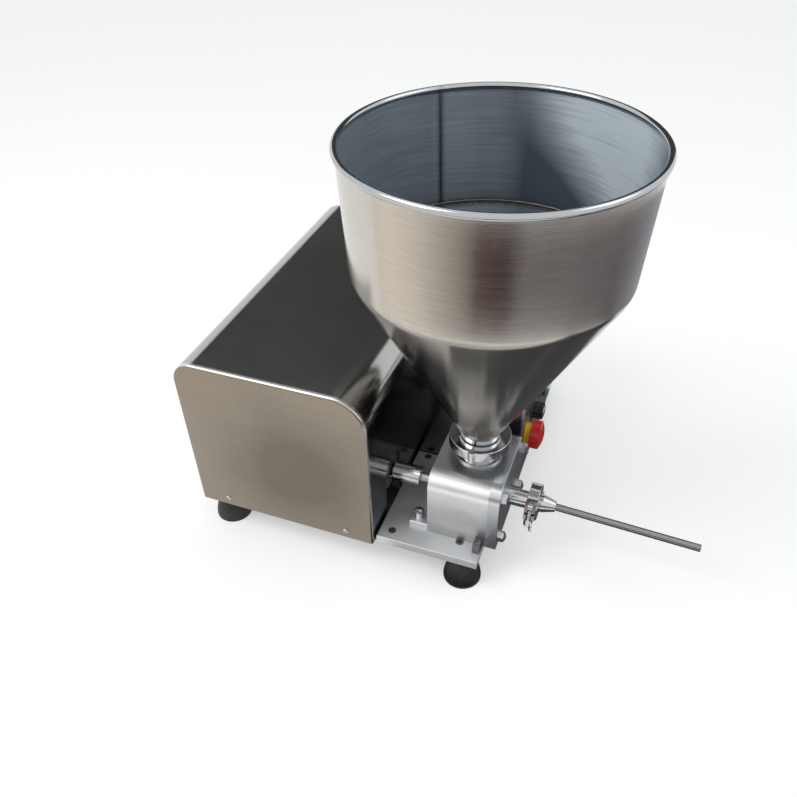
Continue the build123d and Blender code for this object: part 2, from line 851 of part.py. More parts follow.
def motor_housing():
    flange = block(flange_left, case_left, drive_y - case_half, drive_y + case_half, 0, case_top)
    flange = fillet(flange.edges().filter_by(Axis.X).group_by(Axis.Z)[-1], gearbox_wall)
    tube = rod((flange_left, drive_y, drive_z), west, motor_radius, motor_length)
    tube -= rod((flange_left, drive_y, drive_z), west, motor_radius - motor_wall, motor_length)
    housing = flange + tube
    housing -= rod((flange_left, drive_y, drive_z), east, rotor_shaft_radius + air_gap, motor_flange)
    housing -= rod((flange_left, drive_y, drive_z), east, rotor_shaft_radius + bearing_wall, bearing_width)
    return housing - rod((case_left, drive_y, counter_z), west, counter_shaft_radius + bearing_wall,
                         bearing_width)


def motor_end_bell():
    start = (bell_left, drive_y, drive_z)
    bell = rod(start, east, motor_radius, end_bell_thickness)
    half = end_bell_foot_width / 2
    bell += block(bell_left, bell_left + end_bell_thickness, drive_y - half, drive_y + half, 0, drive_z)
    inner = (bell_left + end_bell_thickness, drive_y, drive_z)
    return bell - rod(inner, west, rotor_shaft_radius + bearing_wall, bearing_width)


stator_middle = flange_left - motor_length / 2


def motor_stator():
    outer = motor_radius - motor_wall
    bore = outer - stator_wall
    left = stator_middle - stator_length / 2
    ring = rod((left, drive_y, drive_z), east, outer, stator_length)
    ring += rod((left - winding_length, drive_y, drive_z), east, bore + winding_wall,
                stator_length + 2 * winding_length)
    return ring - rod((left - winding_length, drive_y, drive_z), east, bore,
                      stator_length + 2 * winding_length)


def motor_rotor():
    left = bell_left + end_bell_thickness - bearing_width
    shaft = rod((left, drive_y, drive_z), east, rotor_shaft_radius, first_stage_x - left)
    radius = motor_radius - motor_wall - stator_wall - air_gap
    shaft += rod((stator_middle - rotor_length / 2, drive_y, drive_z), east, radius, rotor_length)
    return shaft + gear(first_stage_x, drive_y, drive_z, box_module, motor_pinion_teeth,
                        first_stage_width, 0, False)


def drive_bearings():
    # ball bearings as shielded rings, with a shallow groove in both faces between the two rings
    places = [(flange_left, east, drive_z, rotor_shaft_radius),
              (bell_left + end_bell_thickness, west, drive_z, rotor_shaft_radius),
              (case_left, west, counter_z, counter_shaft_radius),
              (end_wall_left, east, counter_z, counter_shaft_radius),
              (end_wall_left, east, drive_z, output_shaft_radius),
              (-output_boss_end, west, drive_z, output_shaft_radius)]
    rings = []
    for x, direction, z, shaft in places:
        inner = shaft + shaft_clearance
        outer = shaft + bearing_wall
        third = (outer - inner) / 3
        dent = bearing_width / 12
        profile = [(inner, 0), (inner + third, 0), (inner + third, dent), (outer - third, dent),
                   (outer - third, 0), (outer, 0), (outer, bearing_width),
                   (outer - third, bearing_width), (outer - third, bearing_width - dent),
                   (inner + third, bearing_width - dent), (inner + third, bearing_width),
                   (inner, bearing_width)]
        rings.append(turned(profile, (x, drive_y, z), direction))
    return group(rings)


def hopper_shell():
    top = rim_z - rim_bead_radius
    wall = [(hopper_lower_radius - hopper_wall, weld_z), (hopper_lower_radius, weld_z),
            (hopper_upper_radius, top), (hopper_upper_radius - hopper_wall, top)]
    shell = turned(wall, (inlet_x, inlet_y, 0), up)
    bead = Pos(inlet_x, inlet_y, top) * Torus(hopper_upper_radius, rim_bead_radius)
    return shell + bead


def hopper_cone():
    slant = math.hypot(hopper_lower_radius - neck_radius, hopper_cone_height)
    wall = hopper_wall * slant / hopper_cone_height
    outline = [(neck_radius - wall, neck_top), (neck_radius, neck_top),
               (hopper_lower_radius, weld_z), (hopper_lower_radius - wall, weld_z)]
    return turned(outline, (inlet_x, inlet_y, 0), up)


def ferrule(tube, bore, flange, length):
    # clamp ferrule seen from its sealing face: rim, sloping back and tube
    back = ferrule_rim + (flange - tube) * ferrule_slope
    return [(bore, 0), (flange, 0), (flange, ferrule_rim), (tube, back), (tube, length), (bore, length)]


def hopper_ferrule():
    face = clamp_z + gasket / 2
    outline = ferrule(neck_radius, neck_radius - hopper_wall, inlet_ferrule_radius, neck_top - face)
    return turned(outline, (inlet_x, inlet_y, face), up)


def inlet_spigot():
    face = clamp_z - gasket / 2
    length = face - pump_top + spigot_seat
    outline = ferrule(neck_radius, neck_radius - hopper_wall, inlet_ferrule_radius, length)
    spigot = turned(outline, (inlet_x, inlet_y, face), down)
    collar = [(neck_radius, 0), (spigot_collar_radius, 0), (spigot_collar_radius, spigot_collar_height),
              (neck_radius, spigot_collar_height)]
    return spigot + turned(collar, (inlet_x, inlet_y, pump_top), up)


def gasket_ring(centre, direction, flange, bore):
    back = tuple(c - d * gasket / 2 for c, d in zip(centre, direction))
    return rod(back, direction, flange, gasket) - rod(back, direction, bore, gasket)


def clamp(flange):
    # hinged clamp about local Z: split plane y = 0, hinge at -X, swing bolt at +X pointing to +Y
    outer = flange + clamp_groove_gap + clamp_wall
    half = clamp_width / 2
    groove = flange + clamp_groove_gap
    lip = flange - clamp_grip
    flat = gasket / 2 + ferrule_rim + clamp_side_gap
    lip_z = flat + clamp_grip * ferrule_slope
    groove_z = flat - clamp_groove_gap * ferrule_slope
    outline = [(lip, lip_z), (groove, groove_z), (groove, -groove_z), (lip, -lip_z), (lip, -half),
               (outer, -half), (outer, half), (lip, half)]
    ring = turned(outline, (0, 0, 0), up)
    ring = fillet(ring.edges().filter_by(GeomType.CIRCLE).group_by(SortBy.RADIUS)[-1], panel_edge_round)
    reach = outer + hinge_radius + ear_reach + ear_end
    gap = clamp_split / 2
    upper = ring & block(-reach, reach, gap, reach, -half, half)
    lower = ring & block(-reach, reach, -reach, -gap, -half, half)
    hinge_x = hinge_sink - outer
    third = clamp_width / 6
    room = hinge_radius + knuckle_gap
    knuckle = third - knuckle_gap
    lower -= rod((hinge_x, 0, -third), up, room, 2 * third)
    upper -= rod((hinge_x, 0, -half), up, room, half - third)
    upper -= rod((hinge_x, 0, third), up, room, half - third)
    lower += rod((hinge_x, 0, -half), up, hinge_radius, half - third)
    lower += rod((hinge_x, 0, third), up, hinge_radius, half - third)
    upper += rod((hinge_x, 0, -knuckle), up, hinge_radius, 2 * knuckle)
    pivot_x = outer + ear_reach
    pivot_y = -bolt_pivot_depth
    ear_far = pivot_x + ear_end
    ear = block(outer - ear_root, ear_far, gap, nut_seat_radius, -ear_half_width, ear_half_width)
    seat = rod((pivot_x, pivot_y, -half), up, nut_seat_radius - nut_seat_gap, clamp_width)
    upper += ear & seat
    slot = swing_bolt_radius + swing_slot_gap
    upper -= block(pivot_x - slot, ear_far + ear_end, gap, nut_seat_radius, -slot, slot)
    lower += block(outer - ear_root, ear_far, pivot_y - ear_end, -gap, -ear_half_width, ear_half_width)
    eye = swing_eye_radius + swing_slot_gap
    lower -= block(pivot_x - eye, ear_far + ear_end, pivot_y - 2 * eye, 0, -slot, slot)
    pin_start = (pivot_x, pivot_y, -ear_half_width)
    lower -= rod(pin_start, up, clamp_pin_radius, 2 * ear_half_width)
    hinge_pin = rod((hinge_x, 0, -half), up, clamp_pin_radius, clamp_width)
    upper -= hinge_pin
    lower -= hinge_pin
    hinge_pin += rod((hinge_x, 0, half), up, pin_head, pin_head_height)
    pivot_pin = rod(pin_start, up, clamp_pin_radius, 2 * ear_half_width)
    pivot_pin += rod((pivot_x, pivot_y, ear_half_width), up, pin_head, pin_head_height)
    bolt = rod((pivot_x, pivot_y, -swing_bolt_radius), up, swing_eye_radius, 2 * swing_bolt_radius)
    shank = nut_seat_radius + swing_bolt_tail
    bolt += rod((pivot_x, pivot_y, 0), north, swing_bolt_radius, shank)
    bolt -= rod((pivot_x, pivot_y, -half), up, clamp_pin_radius + shaft_clearance, clamp_width)
    nut = wing_nut((pivot_x, pivot_y + nut_seat_radius, 0))
    return {"near_half": upper, "far_half": lower, "pins": [hinge_pin, pivot_pin], "bolt": bolt,
            "nut": nut, "pivot": (pivot_x, pivot_y)}


def wing_nut(seat):
    # hub along +Y with two flat wings that flare outwards and away from the seat
    hub = [(0, 0), (wing_hub_radius, 0), (wing_hub_top_radius, wing_hub_height), (0, wing_hub_height)]
    nut = turned(hub, seat, north)
    low = wing_hub_height / 8
    blade = Polyline([(0, low), (wing_hub_radius, low), (wing_span, wing_height / 2),
                      (wing_span, wing_height), (wing_span * 0.8, wing_height),
                      (wing_hub_top_radius, wing_hub_height), (0, wing_hub_height)], close=True)
    wing = fillet(make_face(blade).vertices().group_by(Axis.X)[-1], wing_thickness / 2)
    for turn in (up, down):
        plane = Plane(seat, x_dir=turn, z_dir=west if turn == up else east)
        nut += plane.location * Pos(0, 0, -wing_thickness / 2) * extrude(wing, wing_thickness)
    nut -= rod(seat, north, swing_bolt_radius + shaft_clearance, wing_height)
    return nut.rotate(Axis(seat, north), wing_rest_turn)


inlet_clamp_place = Plane((inlet_x, inlet_y, clamp_z), x_dir=north, z_dir=up)
tilt = math.radians(outlet_clamp_tilt)
outlet_clamp_place = Plane((outlet_clamp_x, pump_middle, outlet_z),
                           x_dir=(0, -math.cos(tilt), math.sin(tilt)), z_dir=east)


def outlet_ferrule():
    face = outlet_clamp_x - gasket / 2
    length = face - cover_right
    outline = ferrule(outlet_tube_radius, outlet_bore_radius, outlet_ferrule_radius, length)
    return turned(outline, (face, pump_middle, outlet_z), west)


needle_axis = (math.cos(math.radians(needle_droop)), 0, -math.sin(math.radians(needle_droop)))
needle_start = (needle_root, pump_middle, outlet_z)


def nozzle_reducer():
    face = outlet_clamp_x + gasket / 2
    end = reducer_neck + reducer_taper
    back = ferrule_rim + (outlet_ferrule_radius - outlet_tube_radius) * ferrule_slope
    throat = end - needle_seat
    outline = [(outlet_bore_radius, 0), (outlet_ferrule_radius, 0), (outlet_ferrule_radius, ferrule_rim),
               (outlet_tube_radius, back), (outlet_tube_radius, reducer_neck), (reducer_tip_radius, end),
               (0, end), (0, throat), (needle_radius - needle_wall, throat)]
    reducer = turned(outline, (face, pump_middle, outlet_z), east)
    return reducer - rod(needle_start, needle_axis, needle_radius, needle_length)


def filling_needle():
    tube = rod(needle_start, needle_axis, needle_radius, needle_length)
    return tube - rod(needle_start, needle_axis, needle_radius - needle_wall, needle_length)


def pump_hold_downs():
    toe = block(pump_left - toe_length, pump_left, pump_front + toe_front, pump_front + toe_front + toe_depth,
                plate_thickness, plate_thickness + toe_height)
    toe = chamfer(toe.faces().sort_by(Axis.Z)[-1].edges(), hold_down_chamfer)
    toe -= rod((*toe_bolt, plate_thickness), up, large_shank, toe_height)
    stop = block(stop_left, stop_left + stop_length, pump_front - stop_depth, pump_front,
                 plate_thickness, plate_thickness + stop_height)
    stop = chamfer(stop.faces().sort_by(Axis.Z)[-1].edges(), hold_down_chamfer)
    stop -= rod((*stop_bolt, plate_thickness), up, medium_shank, stop_height)
    return group([toe, stop])


def hold_down_bolts():
    toe_seat = (*toe_bolt, plate_thickness + toe_height)
    screw_top = plate_thickness + stop_height - stop_screw_sink
    screw = rod((*stop_bolt, screw_top), down, medium_shank, stop_height - stop_screw_sink + hold_down_bolt_depth)
    screw -= hex_prism((*stop_bolt, screw_top), down, medium_shank, medium_shank)
    toe_screw = socket_screw(toe_seat, up, large_shank, large_head, large_head_height,
                             toe_height + hold_down_bolt_depth)
    return group([toe_screw, screw])


def panel_point(setback, height, out=0.0):
    return (panel_face + out, control_front + setback, height)


def estop_base():
    face = panel_point(estop_setback, estop_height)
    body = rod(face, east, estop_collar_radius, estop_collar_length)
    barrel = estop_barrel_length
    body += rod(face, west, estop_barrel_radius, barrel)
    half = estop_block / 2
    wide = estop_block_width / 2
    body += block(face[0] - barrel - estop_block_length, face[0] - barrel, face[1] - wide,
                  face[1] + wide, face[2] - half, face[2] + half)
    end = panel_point(estop_setback, estop_height, estop_collar_length)
    bore = estop_stem_radius + estop_skirt_gap
    return body - rod(end, west, bore, estop_stem_length + estop_rest_gap)


def estop_head():
    # mushroom with a skirt round the collar's end and a stem in the collar's bore
    skirt_end = estop_collar_length + estop_rest_gap - estop_skirt
    inner = estop_collar_radius + estop_skirt_gap
    floor = estop_collar_length + estop_rest_gap
    end = skirt_end + estop_head_length
    stem_end = floor - estop_stem_length
    side = Polyline([(0, 0, end), (0, 0, stem_end), (estop_stem_radius, 0, stem_end),
                     (estop_stem_radius, 0, floor), (inner, 0, floor), (inner, 0, skirt_end),
                     (estop_head_radius, 0, skirt_end), (estop_head_radius, 0, end - estop_dome)])
    ball = (estop_head_radius ** 2 + estop_dome ** 2) / (2 * estop_dome)
    halfway = estop_head_radius / 2
    crown = ThreePointArc((estop_head_radius, 0, end - estop_dome),
                          (halfway, 0, end - ball + math.sqrt(ball ** 2 - halfway ** 2)), (0, 0, end))
    head = revolve(make_face([side, crown]), Axis.Z)
    return Plane(panel_point(estop_setback, estop_height), z_dir=east).location * head


def speed_knob_base():
    face = panel_point(knob_setback, knob_height)
    dial = rod(face, east, dial_radius, dial_thickness)
    spindle = rod(face, east, spindle_radius, dial_thickness + spindle_length)
    barrel = rod(face, west, bush_radius, panel_thickness)
    back = panel_point(knob_setback, knob_height, -panel_thickness)
    return dial + spindle + barrel + rod(back, west, pot_radius, pot_length)


def speed_knob():
    start = panel_point(knob_setback, knob_height, dial_thickness + knob_gap)
    knob = rod(start, east, knob_radius, knob_length)
    knob = fillet(knob.edges().filter_by(GeomType.CIRCLE).group_by(Axis.X)[-1], panel_edge_round)
    for flute in range(knob_flutes):
        angle = 2 * math.pi * flute / knob_flutes
        y = start[1] + knob_radius * math.sin(angle)
        z = start[2] + knob_radius * math.cos(angle)
        if flute:
            knob -= rod((start[0], y, z), east, knob_flute_radius, knob_length)
    depth = spindle_length - knob_gap + shaft_clearance
    knob -= rod(start, east, spindle_radius + shaft_clearance, depth)
    mark = block(start[0] + knob_length - panel_edge_round, start[0] + knob_length,
                 start[1] - panel_edge_round, start[1] + panel_edge_round,
                 start[2] + knob_radius / 3, start[2] + knob_radius)
    return knob - mark


def start_button_base():
    face = panel_point(button_setback, button_height)
    body = rod(face, east, button_bezel_radius, button_bezel_height)
    body = fillet(body.edges().filter_by(GeomType.CIRCLE).group_by(Axis.X)[-1], panel_edge_round)
    body += rod(face, west, button_barrel_radius, button_barrel_length)
    end = panel_point(button_setback, button_height, button_bezel_height)
    return body - rod(end, west, button_cap_radius + button_gap, button_cap_height + button_cap_reach)


def start_button_cap():
    top = panel_point(button_setback, button_height, button_bezel_height + button_cap_reach)
    cap = rod(top, west, button_cap_radius, button_cap_height)
    return fillet(cap.edges().filter_by(GeomType.CIRCLE).group_by(Axis.X)[-1], panel_edge_round)


inlet_x_place = inlet_from_left - casing_width
rocker_z = inlet_height + rocker_shift
rocker_axis = casing_depth + inlet_flange_thickness


def mains_inlet():
    rim = inlet_flange
    body = inlet_prism(inlet_x_place, casing_depth, inlet_width + 2 * rim, inlet_tall + 2 * rim,
                       inlet_flange_thickness)
    body += inlet_prism(inlet_x_place, casing_depth - inlet_depth, inlet_width, inlet_tall, inlet_depth)
    well = rocker_depth + rocker_gap
    half = rocker_width / 2 + rocker_gap
    tall = rocker_tall / 2 + rocker_gap
    body -= block(inlet_x_place - half, inlet_x_place + half, rocker_axis - 2 * well, rocker_axis,
                  rocker_z - tall, rocker_z + tall)
    socket_top = rocker_z - tall - inlet_wall
    socket_low = inlet_height - inlet_tall / 2 + inlet_wall
    wide = inlet_width / 2 - inlet_wall
    floor = casing_depth - inlet_depth + inlet_wall
    body -= block(inlet_x_place - wide, inlet_x_place + wide, floor, rocker_axis, socket_low, socket_top)
    middle = (socket_low + socket_top) / 2
    for side in (-1, 0, 1):
        x = inlet_x_place + side * wide / 2
        body += rod((x, floor, middle), north, inlet_contact, inlet_depth / 2)
    side_hole = (inlet_x_place - half - inlet_wall, rocker_axis - rocker_pivot_radius - rocker_gap, rocker_z)
    return body - rod(side_hole, east, rocker_pivot_radius + shaft_clearance, 2 * (half + inlet_wall))


def power_rocker():
    # rocker with its two faces in a shallow V, on trunnions in the inlet's side walls
    half = rocker_width / 2
    tall = rocker_tall / 2
    axis = rocker_axis - rocker_pivot_radius - rocker_gap
    drop = tall * math.tan(math.radians(rocker_tilt))
    top = rocker_crown
    toe = tall - rocker_taper
    outline = Polyline([(-tall, drop - top), (0, -top), (tall, drop - top), (toe, rocker_depth - top),
                        (-toe, rocker_depth - top)], close=True)
    plane = Plane((inlet_x_place - half, axis, rocker_z), x_dir=up, z_dir=east)
    tilted = Rot(0, 0, rocker_tilt) * make_face(outline)
    rocker = plane.location * extrude(tilted, rocker_width)
    start = (inlet_x_place - half - inlet_wall, axis, rocker_z)
    return rocker + rod(start, east, rocker_pivot_radius, rocker_width + 2 * inlet_wall)


def pedal_socket():
    x = socket_from_left - casing_width
    face = (x, casing_depth, inlet_height)
    body = rod(face, north, socket_ring_radius, socket_ring_thickness)
    body += rod(face, north, socket_radius, socket_reach)
    body += rod(face, south, socket_radius, socket_depth)
    return body - rod((x, socket_back, inlet_height), south, socket_bore_radius, socket_depth)


def motor_controller():
    back = casing_depth - controller_rear_gap
    left = controller_gap
    body = block(left, left + controller_length, back - controller_depth, back, 0, controller_height)
    pitch = controller_length / controller_fins
    for fin in range(controller_fins):
        x = left + (fin + 0.5) * pitch
        body += block(x - controller_fin_width / 2, x + controller_fin_width / 2, back - controller_depth,
                      back, controller_height, controller_height + controller_fin_height)
    return body


def add_clamp(prefix, flange, place):
    made = clamp(flange)
    for name in ("near_half", "far_half", "bolt", "nut"):
        pieces[f"{prefix}_clamp_{name}"] = place.location * made[name]
    return [place.location * pin for pin in made["pins"]]


for maker in (bottom_plate, main_cover, front_panel, rear_panel, panel_screws, control_box_cover,
              control_panel, rubber_feet, foot_bolts, base_plate, base_plate_screws, pump_body,
              pump_end_cover, pump_studs, pump_cover_nuts, gear_bushes, shaft_seal, pump_drive_gear,
              pump_idler_gear, coupling_sleeve, gearbox_case, gearbox_countershaft, motor_housing,
              motor_end_bell, motor_stator, motor_rotor, drive_bearings, hopper_shell, hopper_cone,
              hopper_ferrule, inlet_spigot, outlet_ferrule, nozzle_reducer, filling_needle,
              pump_hold_downs, hold_down_bolts, estop_base, estop_head, speed_knob_base, speed_knob,
              start_button_base, start_button_cap, mains_inlet, power_rocker, pedal_socket,
              motor_controller):
    pieces[maker.__name__] = maker()
pieces["gearbox_output_shaft"] = output_shaft()
pieces["coupling_pin"] = cross_pin()
pieces["pump_cover_seal"] = cover_seal()
pieces["hopper_gasket"] = gasket_ring((inlet_x, inlet_y, clamp_z), up, inlet_ferrule_radius,
                                      neck_radius - hopper_wall)
pieces["nozzle_gasket"] = gasket_ring((outlet_clamp_x, pump_middle, outlet_z), east,
                                      outlet_ferrule_radius, outlet_bore_radius)
pins = add_clamp("hopper", inlet_ferrule_radius, inlet_clamp_place)
pins += add_clamp("nozzle", outlet_ferrule_radius, outlet_clamp_place)
pieces["clamp_pins"] = group(pins)

os.makedirs("parts", exist_ok=True)
for name, solid in pieces.items():
    export_step(origin * solid, f"parts/{name}.step")
print(len(pieces), "nodes written")
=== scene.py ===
import math
import bpy
import numpy as np
from mathutils import Matrix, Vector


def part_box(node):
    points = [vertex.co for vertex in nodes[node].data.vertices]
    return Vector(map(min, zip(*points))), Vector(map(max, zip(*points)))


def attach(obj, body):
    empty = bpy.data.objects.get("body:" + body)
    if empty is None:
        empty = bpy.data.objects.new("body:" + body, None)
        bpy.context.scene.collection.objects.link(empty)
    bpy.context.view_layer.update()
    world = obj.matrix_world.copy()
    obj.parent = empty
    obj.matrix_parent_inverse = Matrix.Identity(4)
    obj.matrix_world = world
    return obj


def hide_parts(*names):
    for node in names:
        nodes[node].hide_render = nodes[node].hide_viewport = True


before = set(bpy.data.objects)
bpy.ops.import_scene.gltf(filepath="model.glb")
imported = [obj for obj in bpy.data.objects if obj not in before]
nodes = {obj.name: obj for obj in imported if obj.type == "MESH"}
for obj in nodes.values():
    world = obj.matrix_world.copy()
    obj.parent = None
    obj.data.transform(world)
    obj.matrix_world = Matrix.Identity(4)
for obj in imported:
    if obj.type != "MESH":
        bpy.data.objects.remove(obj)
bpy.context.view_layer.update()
scene = bpy.context.scene
print("frame loaded:", len(nodes), "nodes")


# shader maths: a socket that takes part in arithmetic, each operator adding a Math node
class Value:
    def __init__(self, graph, socket):
        self.graph = graph
        self.socket = socket

    def __add__(self, other):
        return self.graph.calc("ADD", self, other)

    def __sub__(self, other):
        return self.graph.calc("SUBTRACT", self, other)

    def __mul__(self, other):
        return self.graph.calc("MULTIPLY", self, other)

    def __truediv__(self, other):
        return self.graph.calc("DIVIDE", self, other)

    def __pow__(self, other):
        return self.graph.calc("POWER", self, other)

    def __rsub__(self, other):
        return self.graph.calc("SUBTRACT", other, self)

    def __rtruediv__(self, other):
        return self.graph.calc("DIVIDE", other, self)

    __radd__ = __add__
    __rmul__ = __mul__


# a tree of shader nodes: node() adds any node, calc() a Math node
class Graph:
    def __init__(self, tree):
        self.tree = tree

    def node(self, kind, settings=None, inputs=None, out=0):
        made = self.tree.nodes.new(kind)
        for key, value in (settings or {}).items():
            if key == "stops":
                ramp = made.color_ramp.elements
                while len(ramp) < len(value):
                    ramp.new(0.5)
                for element, (place, colour) in zip(ramp, value):
                    element.position = place
                    element.color = (*colour, 1.0)
            else:
                setattr(made, key, value)
        for key, value in (inputs or {}).items():
            if isinstance(value, Value):
                self.link(value, made.inputs[key])
            else:
                made.inputs[key].default_value = value
        return Value(self, made.outputs[out])

    def link(self, value, socket):
        self.tree.links.new(value.socket, socket)

    def calc(self, operation, *values):
        return self.node("ShaderNodeMath", {"operation": operation}, dict(enumerate(values)))

    def clamp(self, value):
        return self.node("ShaderNodeClamp", None, {"Value": value})

    # distance from an axis; the tiny share keeps a division by it safe
    def length(self, x, y, tiny=1e-9):
        return (x * x + y * y + tiny) ** 0.5

    # 1 on rays from the camera, off mirrors and through glass, 0 on the rest
    def seen(self):
        rays = self.node("ShaderNodeLightPath").socket.node.outputs
        camera, glossy, glass = (Value(self, rays[f"Is {kind} Ray"])
                                 for kind in ("Camera", "Glossy", "Transmission"))
        return self.clamp(camera + glossy + glass)


# one procedural material; constants go on the shader's own sockets, with _ for a space
class Finish(Graph):
    def __init__(self, name, **constants):
        self.material = bpy.data.materials.new(name)
        self.material.use_nodes = True
        super().__init__(self.material.node_tree)
        self.shader = self.tree.nodes["Principled BSDF"]
        for socket, value in constants.items():
            self.shader.inputs[socket.replace("_", " ")].default_value = value

    def feed(self, socket, value):
        self.link(value, self.shader.inputs[socket])

    def place(self):
        return self.node("ShaderNodeTexCoord", None, None, "Object")

    def axes(self):
        split = self.node("ShaderNodeSeparateXYZ", None, {0: self.place()}).socket.node.outputs
        return [Value(self, socket) for socket in split]

    def noise(self, vector, scale, detail, rough):
        return self.node("ShaderNodeTexNoise", None,
                         {"Vector": vector, "Scale": scale, "Detail": detail, "Roughness": rough})

    # mix of two colours; the Mix node's colour sockets are numbers 6 and 7, its colour output number 2
    def blend(self, factor, first, second):
        first, second = (tone if isinstance(tone, Value) else (*tone, 1.0) for tone in (first, second))
        return self.node("ShaderNodeMix", {"data_type": "RGBA"}, {0: factor, 6: first, 7: second}, 2)

    def bump(self, height, strength, distance):
        bumped = self.node("ShaderNodeBump", None,
                           {"Height": height, "Strength": strength, "Distance": distance})
        self.feed("Normal", bumped)

    # grain drawn out along straight lines: noise on stretched object coordinates
    def straightGrain(self, stretch, detail=3.0, rough=0.65):
        long = self.node("ShaderNodeMapping", None, {"Vector": self.place(), "Scale": stretch})
        return self.noise(long, 1.0, detail, rough)

    # grain of a lathe or a turning brush: noise on (direction from the axis, way along plus way out)
    def roundGrain(self, axis, centre, around, along, detail=3.0, rough=0.6):
        xyz = [value - middle for value, middle in zip(self.axes(), centre)]
        way = xyz.pop(axis)
        out = self.length(*xyz)
        rings = (way + out) * along
        vector = self.node("ShaderNodeCombineXYZ", None,
                           {0: xyz[0] / out * around, 1: xyz[1] / out * around, 2: rings})
        return self.noise(vector, 1.0, detail, rough)

    # grain without a direction: noise on plain object coordinates
    def evenGrain(self, scale, detail, rough):
        return self.noise(self.place(), scale, detail, rough)

    def grain(self, kind, *values):
        makers = dict(straight=self.straightGrain, turned=self.roundGrain, even=self.evenGrain)
        return makers[kind](*values)


# noise on a metal as (detail, roughness); specks are finer than clouds and change the gloss less
metalNoise = dict(cloud=(3.0, 0.55), speck=(2.0, 0.6), wave=(1.0, 0.4), speckFiner=11, speckShare=0.5)


# steel with a brushed grain, cloudy handling marks and fine scratches
def brushedMetal(name, look):
    finish = Finish(name, Metallic=look.get("metal", 1.0))
    place = finish.place()
    cloud = finish.noise(place, look["cloudScale"], *metalNoise["cloud"])
    speck = finish.noise(place, look["cloudScale"] * metalNoise["speckFiner"], *metalNoise["speck"])
    line = finish.grain(*look["grain"])
    shade = 0.5 + (line - 0.5) * look["grainTone"] + (cloud - 0.5) * look["cloudTone"]
    if "rise" in look:  # painted light: tone that grows along an axis, by a change per metre from a shifted middle
        rise = look["rise"]
        shade = shade + (finish.axes()[rise["axis"]] - (rise["middle"] + rise["shift"])) * rise["change"]
    if "paintedReflection" in look:  # painted dark reflection that fades out as the square of the way to its edge
        paintedReflection = look["paintedReflection"]
        middle = tuple(a + b for a, b in zip(paintedReflection["middle"], paintedReflection["shift"]))
        away = finish.node("ShaderNodeVectorMath", {"operation": "DISTANCE"}, {0: place, 1: middle},
                           "Value")
        fade = finish.clamp(1 - away / paintedReflection["reach"])
        shade = shade - fade * fade * paintedReflection["depth"]
    tone = finish.blend(finish.clamp(shade), look["dark"], look["light"])
    if "zone" in look:  # painted highlight or shade: other tones on one side of a level along an axis
        zone = look["zone"]
        there = finish.clamp((finish.axes()[zone["axis"]] - zone["level"]) * zone["gain"])
        own = finish.blend(finish.clamp(shade), zone["dark"], zone["light"])
        tone = finish.blend(there, tone, own)
    finish.feed("Base Color", tone)
    rough = look["rough"] + (line - 0.5) * look["grainRough"] + (cloud - 0.5) * look["cloudRough"]
    rough = rough + (speck - 0.5) * look["cloudRough"] * metalNoise["speckShare"]
    finish.feed("Roughness", finish.clamp(rough))
    height = line
    if "wave" in look:
        height = line + finish.noise(place, look["waveScale"], *metalNoise["wave"]) * look["wave"]
    finish.bump(height, look["grainBump"], look["grainDepth"])
    return finish.material


# noise on a skin as (detail, roughness), and how much rougher the dust is
skinNoise = dict(pebble=(2.0, 0.5), cloud=(4.0, 0.6), dustRough=0.1)


# moulded or painted skin: a fine pebble, dust in the hollows and a little handling gloss
def mouldedSkin(name, look):
    finish = Finish(name, Metallic=0.0)
    place = finish.place()
    pebble = finish.noise(place, look["pebbleScale"], *skinNoise["pebble"])
    cloud = finish.noise(place, look["cloudScale"], *skinNoise["cloud"])
    dust = finish.clamp((cloud - look["dustFrom"]) * look["dustGain"])
    finish.feed("Base Color", finish.blend(dust, look["colour"], look["dusty"]))
    rough = look["rough"] + (cloud - 0.5) * look["roughShift"] + dust * skinNoise["dustRough"]
    finish.feed("Roughness", finish.clamp(rough))
    finish.bump(pebble, look["pebbleBump"], look["pebbleDepth"])
    return finish.material


def middleOf(node):
    low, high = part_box(node)
    return [(a + b) / 2 for a, b in zip(low, high)]


def dress(material, *names):
    for name in names:
        for slot in nodes[name].material_slots:
            slot.material = material


# sheet steel casing; a painted edge highlight lies behind a panel's face, a painted shaded side is a side's
# outermost skin
grainAlongX = ("straight", (2.5, 900.0, 900.0))
grainAlongY = ("straight", (900.0, 2.5, 900.0))
edgeInset, edgeGain = 0.0008, 1500.0
sideInset, sideGain = 0.0006, 4000.0
paintedEdgeHighlight = dict(dark=(0.60, 0.60, 0.60), light=(0.86, 0.86, 0.86))
shadedSide = dict(dark=(0.10, 0.10, 0.105), light=(0.25, 0.255, 0.265))
sheetLook = dict(dark=(0.40, 0.395, 0.375), light=(0.56, 0.555, 0.53), cloudScale=9.0, rough=0.15,
                 grainTone=0.30, cloudTone=0.35, grainRough=0.06, cloudRough=0.06, grainBump=0.05,
                 grainDepth=0.0002, wave=1.5, waveScale=9.0, grain=grainAlongX)
panelLook = dict(sheetLook, dark=(0.18, 0.155, 0.128), light=(0.435, 0.375, 0.308), rough=0.27,
                 grainRough=0.10, cloudRough=0.10)
coolLook = dict(panelLook, dark=(0.25, 0.24, 0.225), light=(0.46, 0.445, 0.42))
